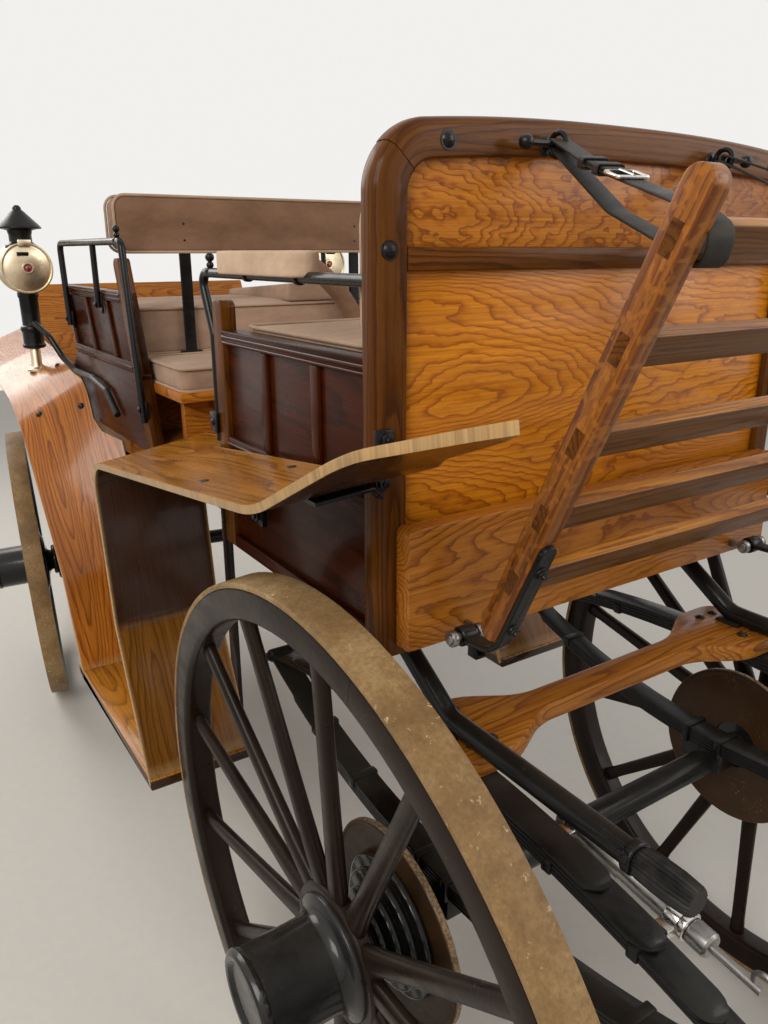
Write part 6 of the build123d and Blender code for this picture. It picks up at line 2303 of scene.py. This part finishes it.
@dataclass
class Studio:
    """The camera, the lamps, the pale surroundings and the floor."""

    focal: float = 28.54
    place: Vector = Vector((-1.996049, 1.03, 1.63223))
    right: Vector = Vector((-0.54737685, -0.83688213, -0.00262523))
    up: Vector = Vector((0.25482626, -0.1696597, 0.95198695))
    forward: Vector = Vector((0.79714626, -0.52042664, -0.30612734))

    def camera(self) -> None:
        """The camera at the photograph's angle."""
        data = bpy.data.cameras.new("camera")
        data.sensor_fit = "VERTICAL"
        data.sensor_height = 36.0
        data.lens = self.focal
        data.clip_start = 0.02
        obj = linked("camera", data)
        turn = Matrix((self.right, self.up, -self.forward)).transposed()
        obj.matrix_world = Matrix.Translation(self.place) @ turn.to_4x4()
        bpy.context.scene.camera = obj

    def lamp(self, name: str, at: Vector, aim: Vector, size: float, power: float, tint: Color) -> None:
        """A soft square lamp.

        Args:
            name: Its name.
            at: Its place.
            aim: The point that it faces.
            size: Its side in metres.
            power: Its power in watts.
            tint: Its colour.
        """
        data = bpy.data.lights.new(name, "AREA")
        data.size = size
        data.energy = power
        data.color = tint
        linked(name, data).matrix_world = facing(at, at - aim)

    def surroundings(self) -> None:
        """A soft pale world that reads as white in the picture, in gloss and in glass."""
        world = bpy.data.worlds.new("studio")
        bpy.context.scene.world = world
        world.use_nodes = True
        nodes = Wiring(world.node_tree)
        camera, gloss, glass = (
            nodes.add("LightPath", {}, f"Is {ray} Ray") for ray in ("Camera", "Glossy", "Transmission")
        )
        seen = nodes.math("MAXIMUM", camera, nodes.math("MAXIMUM", gloss, glass))
        room = nodes.add("Background", {0: (1.0, 0.97, 0.93), 1: 0.42})
        white = nodes.add("Background", {0: (0.93, 0.92, 0.9), 1: 0.95})
        mix = nodes.add("MixShader", {0: seen, 1: room, 2: white})
        output = nodes.tree.nodes.new("ShaderNodeOutputWorld")
        nodes.put(output, 0, mix)

    def floor(self) -> None:
        """A plain pale floor."""
        part = bmesh.new()
        bmesh.ops.create_grid(part, x_segments=2, y_segments=2, size=9.0)
        data = meshed("studio_floor", part)
        sheet = Shade("studio_floor")
        grit = sheet.noise(sheet.place(), 30.0, 4.0, 0.6)
        sheet.own(Base_Color=sheet.mix(grit, (0.6, 0.58, 0.55), (0.66, 0.64, 0.6)), Roughness=0.75)
        data.materials.append(sheet.material)
        obj = linked("studio_floor", data)
        obj.location = (0, 0, -0.0005)

    def build(self) -> None:
        """Sets up the studio."""
        self.camera()
        self.surroundings()
        self.floor()
        self.lamp("key", Vector((-2.6, 3.4, 3.6)), Vector((-0.6, 0, 0.9)), 2.2, 120.0, (1.0, 0.95, 0.87))
        self.lamp("fill", Vector((-3.4, -2.6, 3.0)), Vector((-0.4, 0, 0.9)), 2.6, 60.0, (1.0, 0.96, 0.9))
        self.lamp("far", Vector((3.4, 1.6, 3.4)), Vector((0.4, 0, 1.0)), 2.4, 80.0, (1.0, 0.95, 0.88))
        bpy.context.scene.view_settings.view_transform = "Standard"


def main() -> None:
    """Builds the studio and every sub-assembly of the carriage in order."""
    logging.basicConfig(level=logging.INFO, format="%(message)s")
    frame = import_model()
    shop = Workshop(frame)
    Studio().build()
    RearEnd().build(shop)
    RearSides().build(shop)
    FrontSides().build(shop)
    Joinery().build(shop)
    Guards().build(shop)
    SeatIrons().build(shop)
    SideLamps().build(shop)
    Undercarriage().build(shop)
    LuggageRack().build(shop)
    for end in End:
        for left in (True, False):
            RoadWheel(end, left).build(shop)
    Upholstery().build(shop)
    LOG.info("%d pieces", shop.count)


if __name__ == "__main__":
    main()
